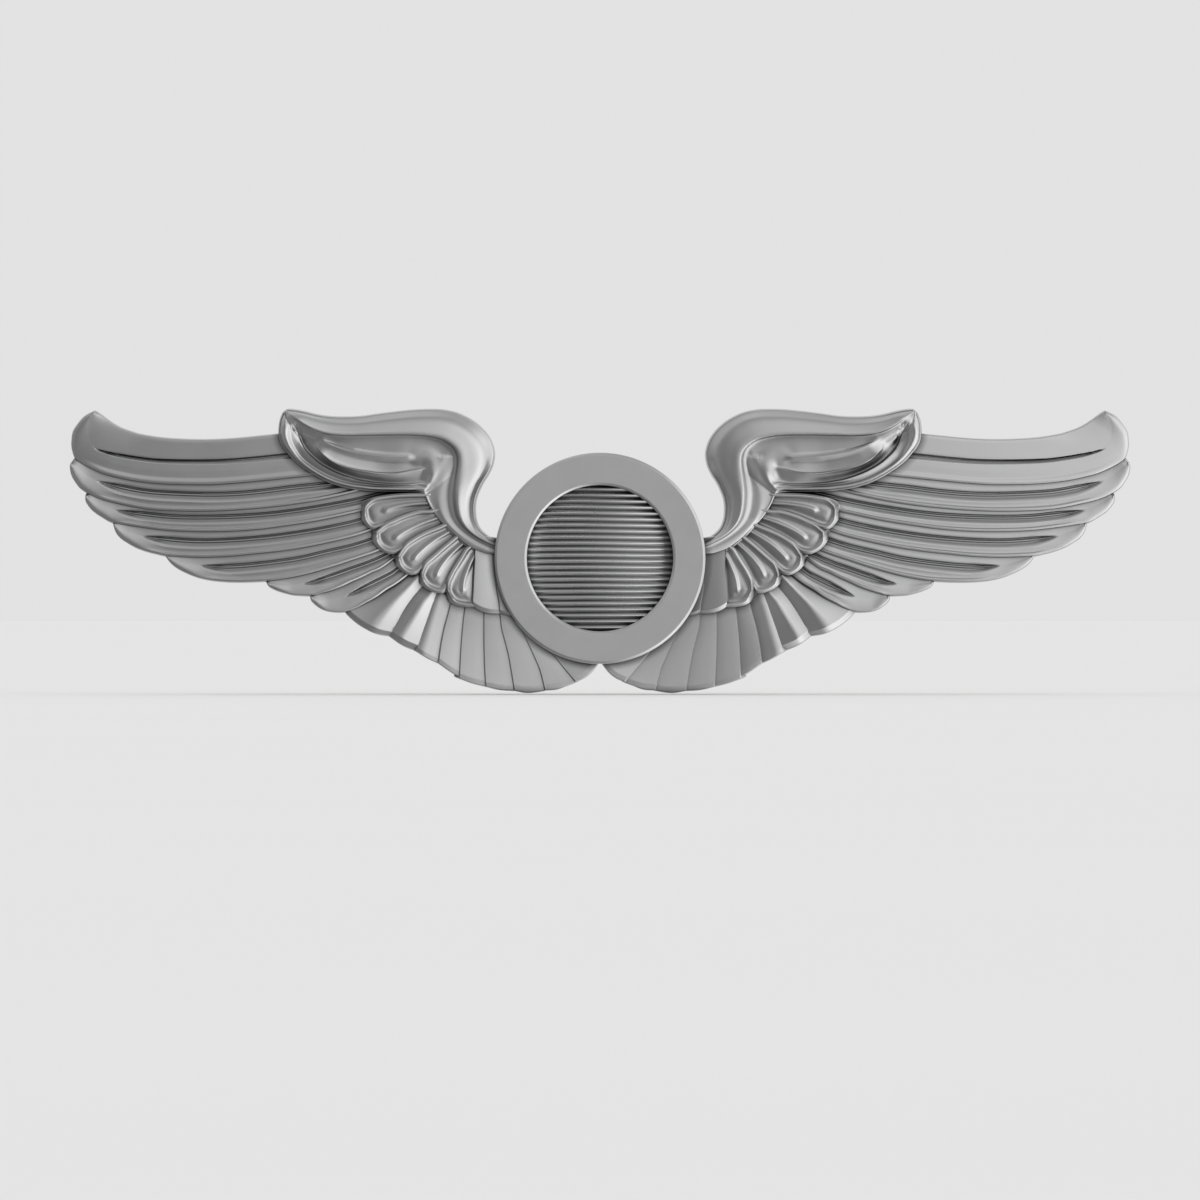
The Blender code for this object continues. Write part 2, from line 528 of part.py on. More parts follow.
class Rail:
    """A Catmull-Rom curve through design points, read by its share of the length."""

    def __init__(self, points):
        p = [np.array(point, float) for point in points]
        p = [2 * p[0] - p[1]] + p + [2 * p[-1] - p[-2]]
        fine = []
        for i in range(1, len(p) - 2):
            for k in range(RAIL_STEPS):
                u = k / RAIL_STEPS
                fine.append(
                    0.5
                    * (
                        2 * p[i]
                        + (p[i + 1] - p[i - 1]) * u
                        + (2 * p[i - 1] - 5 * p[i] + 4 * p[i + 1] - p[i + 2]) * u * u
                        + (3 * p[i] - p[i - 1] - 3 * p[i + 1] + p[i + 2]) * u**3
                    )
                )
        fine.append(p[-2])
        self.points = np.array(fine)
        steps = np.hypot(*np.diff(self.points, axis=0).T)
        self.travel = np.concatenate([[0], np.cumsum(steps)])
        self.length = self.travel[-1]

    def at(self, share):
        travel = share * self.length
        return (
            float(np.interp(travel, self.travel, self.points[:, 0])),
            float(np.interp(travel, self.travel, self.points[:, 1])),
        )

    def cross(self, start, end):
        """Share of the line from start to end at which it first meets the curve, or None."""
        start = np.array(start)
        line = np.array(end) - start
        pieces = self.points[1:] - self.points[:-1]
        den = line[0] * pieces[:, 1] - line[1] * pieces[:, 0]
        den = np.where(abs(den) < 1e-12, 1e-12, den)
        gap = self.points[:-1] - start
        on_line = (gap[:, 0] * pieces[:, 1] - gap[:, 1] * pieces[:, 0]) / den
        on_piece = (gap[:, 0] * line[1] - gap[:, 1] * line[0]) / den
        hits = (on_line >= 0) & (on_line <= 1) & (on_piece >= 0) & (on_piece <= 1)
        found = np.where(hits)[0]
        return float(on_line[found[0]]) if len(found) else None


# ---- meshes, objects and modifiers ----


def block_mesh(name, rows, back):
    """Closes a lofted surface of rows of (across, up, height) into a block down to y = back."""
    count, width = len(rows), len(rows[0])
    verts = [(x * MM, -height * MM, z * MM) for row in rows for x, z, height in row]
    faces = []
    for i in range(count - 1):
        for j in range(width - 1):
            a = i * width + j
            faces.append((a, a + 1, a + width + 1, a + width))
    rim = (
        [(0, j) for j in range(width)]
        + [(i, width - 1) for i in range(1, count)]
        + [(count - 1, j) for j in range(width - 2, -1, -1)]
        + [(i, 0) for i in range(count - 2, 0, -1)]
    )
    base = len(verts)
    for i, j in rim:
        x, z, _ = rows[i][j]
        verts.append((x * MM, back * MM, z * MM))
    around = len(rim)
    for i in range(around):
        j = (i + 1) % around
        a, b = (row * width + column for row, column in (rim[i], rim[j]))
        faces.append((a, b, base + j, base + i))
    faces.append(tuple(range(base, base + around)))
    mesh = bpy.data.meshes.new(name)
    mesh.from_pydata(verts, [], faces)
    work = bmesh.new()
    work.from_mesh(mesh)
    bmesh.ops.recalc_face_normals(work, faces=work.faces)
    work.to_mesh(mesh)
    work.free()
    return mesh


def add_part(name, mesh):
    ob = bpy.data.objects.new(name, mesh)
    parts.objects.link(ob)
    return ob


def add_helper(name, mesh, collection=cutters):
    ob = bpy.data.objects.new(name, mesh)
    collection.objects.link(ob)
    ob.hide_render = True
    ob.display_type = "WIRE"
    return ob


def box(name, low, high):
    bm = bmesh.new()
    bmesh.ops.create_cube(bm, size=1.0)
    for v in bm.verts:
        v.co = Vector([(low[i] + (high[i] - low[i]) * (v.co[i] + 0.5)) * MM for i in range(3)])
    mesh = bpy.data.meshes.new(name)
    bm.to_mesh(mesh)
    bm.free()
    return add_helper(name, mesh)


def drum(name, radius, y0, y1, segments=96):
    """A cylinder on the Y axis between y0 and y1."""
    bm = bmesh.new()
    bmesh.ops.create_cone(
        bm,
        cap_ends=True,
        segments=segments,
        radius1=radius * MM,
        radius2=radius * MM,
        depth=(y1 - y0) * MM,
    )
    for v in bm.verts:
        x, y, z = v.co
        v.co = Vector((x, z + (y0 + y1) / 2 * MM, -y))
    mesh = bpy.data.meshes.new(name)
    bm.to_mesh(mesh)
    bm.free()
    return add_helper(name, mesh)


def boolean(ob, operation, other=None, group=None):
    mod = ob.modifiers.new(operation.lower(), "BOOLEAN")
    mod.operation = operation
    mod.solver = "EXACT"
    if group:
        mod.operand_type = "COLLECTION"
        mod.collection = group
    else:
        mod.object = other


def evaluated_mesh(ob):
    bpy.context.view_layer.update()
    depsgraph = bpy.context.evaluated_depsgraph_get()
    return bpy.data.meshes.new_from_object(ob.evaluated_get(depsgraph), depsgraph=depsgraph)


def settle(ob):
    """Applies the modifiers."""
    mesh = evaluated_mesh(ob)
    ob.modifiers.clear()
    ob.data = mesh


def set_material(ob, mat):
    ob.data.materials.clear()
    ob.data.materials.append(mat)


def turned(name, profile, mat, at=(0.0, 0.0), segments=48, closed=True):
    """A piece turned about Y from a profile of (radius, y)."""
    count = len(profile)
    area = 0.0
    for i in range(count):
        a, b = profile[i], profile[(i + 1) % count]
        area += a[0] * b[1] - b[0] * a[1]
    if area > 0:  # this direction would turn the normals inwards
        profile = profile[::-1]
    mesh = bpy.data.meshes.new(name)
    verts = [(radius * MM, 0.0, y * MM) for radius, y in profile]
    edges = [(i, (i + 1) % count) for i in range(count if closed else count - 1)]
    mesh.from_pydata(verts, edges, [])
    mesh.materials.append(mat)
    ob = add_part(name, mesh)
    ob.rotation_euler = (-math.pi / 2, 0, 0)
    ob.location = (at[0] * MM, 0.0, at[1] * MM)
    screw = ob.modifiers.new("turn", "SCREW")
    screw.axis = "Z"
    screw.steps = screw.render_steps = segments
    screw.use_merge_vertices = True
    screw.merge_threshold = 1e-6
    screw.use_smooth_shade = True
    return ob


# ---- wings ----


def ground(x):
    """General height of the feathers' surface."""
    return ROOT_HEIGHT - BOW_DROP * max(0.0, (-x - BOW_X) / BOW_LENGTH) ** 2


def primary_rows(spec, upper_tilt):
    upper, lower, quill = Rail(spec["upper"]), Rail(spec["lower"]), Rail(spec["quill"])
    cuts = [quill.cross(upper.at(t), lower.at(t)) for t in PRIMARY_STATIONS]
    first = next(cut for cut in cuts if cut is not None)
    rows, last = [], QUILL_SHARE
    for t, cut in zip(PRIMARY_STATIONS, cuts):
        # past either end of the quill its nearest known place is used
        if cut is not None:
            last = cut
        middle = last if t > 0.3 or cut is not None else first
        quill_relief = 1.0 if cut is not None or t <= 0.5 else 0.0
        row = []
        for w, relief in PRIMARY_PROFILE:
            if w <= QUILL_SHARE:
                share = middle * w / QUILL_SHARE
            else:
                share = middle + (1 - middle) * (w - QUILL_SHARE) / 0.55
            x, z = lerp(upper.at(t), lower.at(t), share)
            tilt = -upper_tilt * (1 - w) + PRIMARY_TILT * w
            if 0.3 < w < 0.6:
                relief *= quill_relief
            row.append((x, z, ground(x) + tilt + relief))
        rows.append(row)
    return rows


def tip_shift(outer, inner, tip, t, share):
    """Offset that bends the outer half of a feather's length so that it ends on its tip line."""
    tip_x, tip_z = tip.at(share)
    end_x, end_z = lerp(outer.at(1), inner.at(1), share)
    bend = max(0.0, (t - 0.5) / 0.5) ** 2
    return (tip_x - end_x) * bend, (tip_z - end_z) * bend


def chamfer_start(spec, outer, inner):
    return 1 - spec["chamfer"] / (0.5 * (outer.length + inner.length))


def secondary_rows(spec, outer_height):
    """outer_height is the outer edge's height on a feather with a ridge."""
    outer, inner, tip = Rail(spec["outer"]), Rail(spec["inner"]), Rail(spec["tip"])
    ridge = Rail(spec["ridge"]) if "ridge" in spec else None
    rows = []
    for t in (0.0, 0.35, 0.7, chamfer_start(spec, outer, inner), 1.0):
        a, b = outer.at(t), inner.at(t)
        drop = SECONDARY_TIP_DROP if t == 1.0 else 0.0
        profile = SECONDARY_PROFILE
        if ridge:
            top = ridge.at(t)
            share = math.dist(a, top) / (math.dist(a, top) + math.dist(top, b))
            profile = [(0.0, outer_height), (share, SECONDARY_RIDGE), (1.0, SECONDARY_INNER)]
        row = []
        for share, relief in profile:
            x, z = lerp(a, b, share)
            dx, dz = tip_shift(outer, inner, tip, t, share)
            x, z = x + dx, z + dz
            row.append((x, z, ground(x) + relief - drop))
        rows.append(row)
    return rows


def tipped_covert_rows(spec):
    outer, inner, tip = Rail(spec["outer"]), Rail(spec["inner"]), Rail(spec["tip"])
    rows = []
    for t in (0.0, 0.4, chamfer_start(spec, outer, inner), 1.0):
        drop = COVERT_TIP_DROP if t == 1.0 else 0.0
        row = []
        for share, relief in COVERT_TIP_PROFILE:
            x, z = lerp(outer.at(t), inner.at(t), share)
            dx, dz = tip_shift(outer, inner, tip, t, share)
            row.append((x + dx, z + dz, ground(x) + COVERT_RISE + relief - drop))
        rows.append(row)
    return rows


def pointed_covert_rows(spec):
    outer, inner = Rail(spec["outer"]), Rail(spec["inner"])
    rows = []
    for t in COVERT_STATIONS:
        flat = smooth((t - 0.72) / 0.14)  # the grooves run out into a plain slope
        drop = 0.12 * smooth((t - 0.93) / 0.06)
        row = []
        for share, relief in COVERT_PROFILE:
            x, z = lerp(outer.at(t), inner.at(t), share)
            relief = relief * (1 - flat) + flat * (0.10 - 0.12 * share)
            row.append((x, z, ground(x) + COVERT_RISE + relief - drop))
        rows.append(row)
    return rows


def shoulder_rows():
    lines = [(height, faded, Rail(points)) for height, faded, points in SHOULDER_LINES]
    count = len(SHOULDER_SECTIONS)
    rows = []
    for i, (top, bottom) in enumerate(SHOULDER_SECTIONS):
        row = [(*top, SHOULDER_TOP if 2 < i < count - 2 else SHOULDER_TOP_ENDS)]
        live = smooth((FADE_END - i) / FADE_SECTIONS)
        relief = RELIEF_AT_END + (1 - RELIEF_AT_END) * smooth(i / RELIEF_SECTIONS)
        last = 0.0
        for n, (height, faded, rail) in enumerate(lines):
            left = len(lines) - n
            share = rail.cross(top, bottom)
            if faded is not None:
                height = faded if share is None else height * live + faded * (1 - live)
            if share is None:
                rest = 1 - last
                share = last + (rest * MISSING_STEP if faded is None else rest / (left + 1))
            share = max(share, last + MIN_STEP)
            share = min(share, 1 - MIN_STEP * left)
            last = share
            x, z = lerp(top, bottom, share)
            row.append((x, z, RELIEF_BASE + (height - RELIEF_BASE) * relief))
        row.append((*bottom, SHOULDER_BOTTOM if live > 0.5 else SHOULDER_BOTTOM_ROOT))
        rows.append(row)
    return rows


def add_feather(kind, k, rows, back):
    name = f"{kind}_{k + 1}"
    add_helper(name, block_mesh(name, rows, back + BACK_STEP * k), feathers)


def joined_wing():
    """The left wing: shoulder and feathers joined, faced off at the back and cut for the ring."""
    for k, spec in enumerate(PRIMARIES):
        add_feather(
            "primary", k, primary_rows(spec, PRIMARY_TILT if k else LEADING_TILT), PRIMARY_BACK
        )
    for k, spec in enumerate(SECONDARIES):
        add_feather("secondary", k, secondary_rows(spec, -0.05 if k else -0.22), SECONDARY_BACK)
    for k, spec in enumerate(COVERTS):
        rows = tipped_covert_rows(spec) if "tip" in spec else pointed_covert_rows(spec)
        add_feather("covert", k, rows, COVERT_BACK)
    body = add_helper("shoulder", block_mesh("shoulder", shoulder_rows(), SHOULDER_BACK))
    boolean(body, "UNION", group=feathers)
    boolean(body, "DIFFERENCE", box("facing_cut", (-60, 0.0, -30), (60, 5.0, 30)))
    boolean(body, "DIFFERENCE", drum("ring_cut", RING_R_OUT + FIT, -8.0, 2.0))
    settle(body)
    bm = bmesh.new()
    bm.from_mesh(body.data)
    bpy.data.objects.remove(body, do_unlink=True)
    return bm


def face_islands(bm):
    """Groups of connected faces, smallest first."""
    seen, islands = set(), []
    for start in bm.faces:
        if start in seen:
            continue
        stack, island = [start], []
        seen.add(start)
        while stack:
            face = stack.pop()
            island.append(face)
            for edge in face.edges:
                for neighbour in edge.link_faces:
                    if neighbour not in seen:
                        seen.add(neighbour)
                        stack.append(neighbour)
        islands.append(island)
    return sorted(islands, key=len)


def clean_wing(bm):
    bmesh.ops.remove_doubles(bm, verts=bm.verts, dist=WELD)
    bmesh.ops.dissolve_degenerate(bm, edges=bm.edges, dist=WELD)
    bmesh.ops.triangulate(bm, faces=bm.faces)
    # keep the largest body: the cut leaves slivers under the ring
    for island in face_islands(bm)[:-1]:
        bmesh.ops.delete(bm, geom=island, context="FACES")
    loose = [v for v in bm.verts if not v.link_faces]
    bmesh.ops.delete(bm, geom=loose, context="VERTS")
    bmesh.ops.recalc_face_normals(bm, faces=bm.faces)


def add_wing(name, bm):
    mesh = bpy.data.meshes.new(name)
    bm.to_mesh(mesh)
    mesh.shade_smooth()
    mesh.set_sharp_from_angle(angle=SHARP_ANGLE)
    mesh.materials.append(SATIN)
    add_part(name, mesh)


def build_wings():
    bm = joined_wing()
    clean_wing(bm)
    add_wing("left_wing", bm)
    for v in bm.verts:
        v.co.x = -v.co.x
    bmesh.ops.reverse_faces(bm, faces=bm.faces)
    add_wing("right_wing", bm)
    bm.free()


# ---- ring, disc and backing plate ----


def build_ring():
    """A chamfered ring with an inner ledge at the back, behind the disc."""
    profile = [
        (RING_R_OUT, 0.0),
        (RING_R_OUT, -(RING_FRONT - RING_CHAMFER)),
        (RING_R_OUT - RING_CHAMFER, -RING_FRONT),
        (RING_R_IN + RING_CHAMFER, -RING_FRONT),
        (RING_R_IN, -(RING_FRONT - RING_CHAMFER)),
        (RING_R_IN, -RING_LEDGE_H),
        (RING_LEDGE_R, -RING_LEDGE_H),
        (RING_LEDGE_R, 0.0),
    ]
    turned("centre_ring", profile, SATIN, segments=72)


def build_disc():
    """A slab with half-round ribs along X, clipped to a circle and pushed out into a dome."""
    half = (RIBS * RIB_PITCH) / 2
    outline = [(-half - SLAB_MARGIN, DISC_FACE)]  # (up, height)
    for i in range(RIBS):
        z0 = -half + i * RIB_PITCH
        for k in range(RIB_STEPS + 1):
            angle = math.pi * k / RIB_STEPS
            z = z0 + RIB_PITCH * (0.5 - RIB_HALF_SHARE * math.cos(angle))
            outline.append((z, DISC_FACE + RIB_HEIGHT * math.sin(angle)))
    outline.append((half + SLAB_MARGIN, DISC_FACE))
    rows = [[(x, z, height) for x in SLAB_COLUMNS] for z, height in outline]
    ob = add_part("ribbed_disc", block_mesh("ribbed_disc", rows, -DISC_BACK))
    boolean(ob, "INTERSECT", drum("disc_blank", DISC_R, -6.0, 0.0, segments=48))
    settle(ob)
    for v in ob.data.vertices:
        if -v.co.y / MM > DISC_BACK + 0.2:  # leaves the flat back where it is
            share = (v.co.x**2 + v.co.z**2) / (DISC_R * MM) ** 2
            v.co.y -= DISC_DOME * (1 - min(1.0, share)) * MM
    set_material(ob, RIBBED)


def arc(centre, radius, start, sweep, steps):
    angles = [start + sweep * i / steps for i in range(steps + 1)]
    return [(centre[0] + radius * math.cos(a), centre[1] + radius * math.sin(a)) for a in angles]


def plate_outline():
    """Anticlockwise (x, z) from the top right, where the disc meets the tab."""
    quarter = math.pi / 2
    join_top = math.asin(PLATE_TAB_TOP / PLATE_R)
    join_bottom = math.asin(PLATE_TAB_BOTTOM / PLATE_R)
    x = PLATE_TAB_X - PLATE_FILLET
    top, bottom = PLATE_TAB_TOP - PLATE_FILLET, PLATE_TAB_BOTTOM + PLATE_FILLET
    return (
        arc((0, 0), PLATE_R, join_top, math.pi - 2 * join_top, 14)
        + arc((-x, top), PLATE_FILLET, quarter, quarter, 4)
        + arc((-x, bottom), PLATE_FILLET, math.pi, quarter, 4)
        + arc((0, 0), PLATE_R, math.pi - join_bottom, math.pi + 2 * join_bottom, 14)
        + arc((x, bottom), PLATE_FILLET, -quarter, quarter, 4)
        + arc((x, top), PLATE_FILLET, 0, quarter, 4)
    )


def build_backing_plate():
    """A filled curve, extruded and turned to lie in the XZ plane."""
    name = "backing_plate"
    points = plate_outline()
    curve = bpy.data.curves.new(name, "CURVE")
    curve.dimensions = "2D"
    curve.fill_mode = "BOTH"
    curve.extrude = PLATE_T / 2 * MM
    spline = curve.splines.new("POLY")
    spline.points.add(len(points) - 1)
    for point, (x, z) in zip(spline.points, points):
        point.co = (x * MM, z * MM, 0.0, 1.0)
    spline.use_cyclic_u = True
    blank = bpy.data.objects.new(name + "_curve", curve)
    cutters.objects.link(blank)
    mesh = evaluated_mesh(blank)
    bpy.data.objects.remove(blank, do_unlink=True)
    work = bmesh.new()
    work.from_mesh(mesh)
    bmesh.ops.remove_doubles(work, verts=work.verts, dist=1e-6)
    for v in work.verts:
        x, y, z = v.co
        v.co = Vector((x, z + (FIT + PLATE_T / 2) * MM, y))
    # swapping the axes mirrors the mesh, so the normals are made to face outwards again
    bmesh.ops.recalc_face_normals(work, faces=work.faces)
    if work.calc_volume(signed=True) < 0:
        bmesh.ops.reverse_faces(work, faces=work.faces)
    work.to_mesh(mesh)
    work.free()
    set_material(add_part(name, mesh), PLATED)


# ---- posts and clutches ----


def build_post(side, at):
    """A pointed, grooved pin on a flange; the centre one sits on the backing plate."""
    seat = FIT + PLATE_T + FIT if side == "centre" else FIT
    groove_r = POST_R - GROOVE_DEPTH
    profile = [
        (0.0, seat),
        (POST_FLANGE_R, seat),
        (POST_FLANGE_R, seat + POST_FLANGE_T * 0.7),
        (POST_R + 0.35, seat + POST_FLANGE_T),
        (POST_R, seat + POST_FLANGE_T + 0.2),
        (POST_R, GROOVE_Y[0]),
        (groove_r, GROOVE_Y[1]),
        (groove_r, GROOVE_Y[2]),
        (POST_R, GROOVE_Y[3]),
        (POST_R, POST_SHOULDER),
        (POST_TIP_R, POST_TIP - 0.05),
        (0.0, POST_TIP),
    ]
    turned(side + "_post", profile, STEEL, at=at, segments=16, closed=False)


def build_clutch_base(side, at):
    """A round plate, raised rearwards about the post hole, with an upturned rim."""
    front = CLUTCH_FRONT
    rim_inner = CLUTCH_R - 0.24
    profile = [
        (CLUTCH_HOLE_R, front + 0.28),  # front face, from the hole outwards
        (1.5, front + 0.05),
        (2.6, front),
        (CLUTCH_R - 0.15, front),
        (CLUTCH_R, front + 0.12),  # rim
        (CLUTCH_R, front + 0.72),
        (CLUTCH_R - 0.12, front + 0.82),
        (rim_inner, front + 0.72),
        (rim_inner, front + CLUTCH_WALL),  # rear face, back to the hole
        (2.7, front + CLUTCH_WALL),
        (1.6, front + 0.33),
        (CLUTCH_HOLE_R, front + 0.56),
    ]
    turned(side + "_clutch_base", profile, BRASS, at=at, segments=24)


def build_clutch_cap(side, at):
    """A hollow domed cap with a foot flange and a slot through both sides for the spring."""
    foot = CLUTCH_FRONT + 0.30
    inner_rear = CAP_REAR - CLUTCH_WALL
    profile = [
        (CLUTCH_R - 0.3, foot),  # outside, from the flange to the rear
        (CLUTCH_R - 0.3, CLUTCH_FRONT + 0.55),
        (CAP_R + 0.25, CLUTCH_FRONT + 0.58),
        (CAP_R, CLUTCH_FRONT + 0.85),
        (CAP_R - 0.05, 5.1),
        (CAP_R - 0.3, 6.3),
        (CAP_REAR_R + 0.45, 7.15),
        (CAP_REAR_R, CAP_REAR),
        (0.0, CAP_REAR),
        (0.0, inner_rear),  # inside, back to the flange
        (CAP_REAR_R - 0.1, inner_rear),
        (CAP_REAR_R + 0.3, 6.9),
        (CAP_R - 0.6, 6.15),
        (CAP_R - 0.05 - CLUTCH_WALL, 5.05),
        (CAP_R - CLUTCH_WALL, CLUTCH_FRONT + 0.80),
        (CAP_R - CLUTCH_WALL + 0.15, foot),
    ]
    cap = turned(side + "_clutch_cap", profile, BRASS, at=at, segments=24)
    half = LEAF_W / 2 + WINDOW_GAP
    windows = box(
        side + "_windows",
        (at[0] - WINDOW_X, HINGE_Y - WINDOW_BEFORE, at[1] - half),
        (at[0] + WINDOW_X, HINGE_Y + WINDOW_BEHIND, at[1] + half),
    )
    boolean(cap, "DIFFERENCE", windows)


def build_leaf(name, direction, at):
    """One squeeze wing of a clutch spring: a bent strip with a half-round notch for the post."""
    path = [Vector(point) for point in LEAF_PATH]
    count = len(path)
    rear_side, front_side = [], []
    for i, point in enumerate(path):
        along = (path[min(i + 1, count - 1)] - path[max(i - 1, 0)]).normalized()
        offset = Vector((-along.y, along.x)) * LEAF_T / 2
        rear_side.append(point + offset)
        front_side.append(point - offset)
    loop = rear_side + front_side[::-1]
    total = len(loop)
    # vertices alternate between the lower and the upper edge of the strip
    verts = [(p.x * MM, p.y * MM, z * MM) for p in loop for z in (-LEAF_W / 2, LEAF_W / 2)]
    faces = []
    for i in range(total):
        a, b = 2 * i, 2 * ((i + 1) % total)
        faces.append((a, b, b + 1, a + 1))
    for i in range(count - 1):
        j, k = total - 1 - i, total - 2 - i
        faces.append((2 * i, 2 * (i + 1), 2 * k, 2 * j))
        faces.append((2 * i + 1, 2 * j + 1, 2 * k + 1, 2 * (i + 1) + 1))
    mesh = bpy.data.meshes.new(name)
    mesh.from_pydata(verts, [], faces)
    work = bmesh.new()
    work.from_mesh(mesh)
    for v in work.verts:
        v.co.x *= direction
    bmesh.ops.recalc_face_normals(work, faces=work.faces)
    work.to_mesh(mesh)
    work.free()
    ob = add_part(name, mesh)
    notch = drum(name + "_notch", POST_R + LEAF_NOTCH_GAP, 2.0, 5.0, segments=24)
    boolean(ob, "DIFFERENCE", notch)
    settle(ob)
    # its origin goes on the line it swings about
    for v in ob.data.vertices:
        v.co -= Vector((direction * HINGE_X * MM, HINGE_Y * MM, 0.0))
    ob.location = ((at[0] + direction * HINGE_X) * MM, HINGE_Y * MM, at[1] * MM)
    set_material(ob, SPRING)


build_wings()
build_ring()
build_disc()
build_backing_plate()
for side, at in POSTS.items():
    build_post(side, at)
    build_clutch_base(side, at)
    build_clutch_cap(side, at)
    build_leaf(side + "_spring_wing_a", -1, at)
    build_leaf(side + "_spring_wing_b", 1, at)

# move the origin from the back plane to the centre clutch's rear face
for ob in bpy.data.objects:
    ob.location.y -= CAP_REAR * MM
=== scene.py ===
"""Looks for the aviator's wings pin: fine struck wings, ring, ribbed disc and clutch hardware, with
procedural metal finishes, a pale floor, soft light and the camera. Tables are in millimetres."""

import json
import math

import bmesh
import bpy
import numpy as np
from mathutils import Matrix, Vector

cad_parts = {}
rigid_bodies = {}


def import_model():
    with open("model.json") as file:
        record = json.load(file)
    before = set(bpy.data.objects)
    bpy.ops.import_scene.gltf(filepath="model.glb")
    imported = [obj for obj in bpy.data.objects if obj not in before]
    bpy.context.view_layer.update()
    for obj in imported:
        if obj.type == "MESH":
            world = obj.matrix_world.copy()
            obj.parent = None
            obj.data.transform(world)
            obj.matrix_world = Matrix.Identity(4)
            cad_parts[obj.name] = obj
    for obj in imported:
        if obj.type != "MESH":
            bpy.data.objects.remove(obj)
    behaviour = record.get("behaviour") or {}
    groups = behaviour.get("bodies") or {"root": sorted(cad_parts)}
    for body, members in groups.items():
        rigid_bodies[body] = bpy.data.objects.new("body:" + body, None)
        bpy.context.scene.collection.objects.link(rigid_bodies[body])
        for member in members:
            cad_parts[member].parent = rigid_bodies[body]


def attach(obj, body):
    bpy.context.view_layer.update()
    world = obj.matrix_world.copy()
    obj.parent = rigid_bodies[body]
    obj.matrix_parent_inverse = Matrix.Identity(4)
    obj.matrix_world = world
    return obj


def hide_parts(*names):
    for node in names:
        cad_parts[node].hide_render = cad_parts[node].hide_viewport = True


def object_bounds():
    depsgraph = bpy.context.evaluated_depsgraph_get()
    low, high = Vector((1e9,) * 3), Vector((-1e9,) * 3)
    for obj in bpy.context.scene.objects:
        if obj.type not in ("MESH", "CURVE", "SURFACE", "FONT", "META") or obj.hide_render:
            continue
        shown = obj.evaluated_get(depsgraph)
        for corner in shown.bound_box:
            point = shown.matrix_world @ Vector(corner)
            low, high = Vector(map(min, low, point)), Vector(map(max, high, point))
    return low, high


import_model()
CAD_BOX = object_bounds()
MM = 0.001

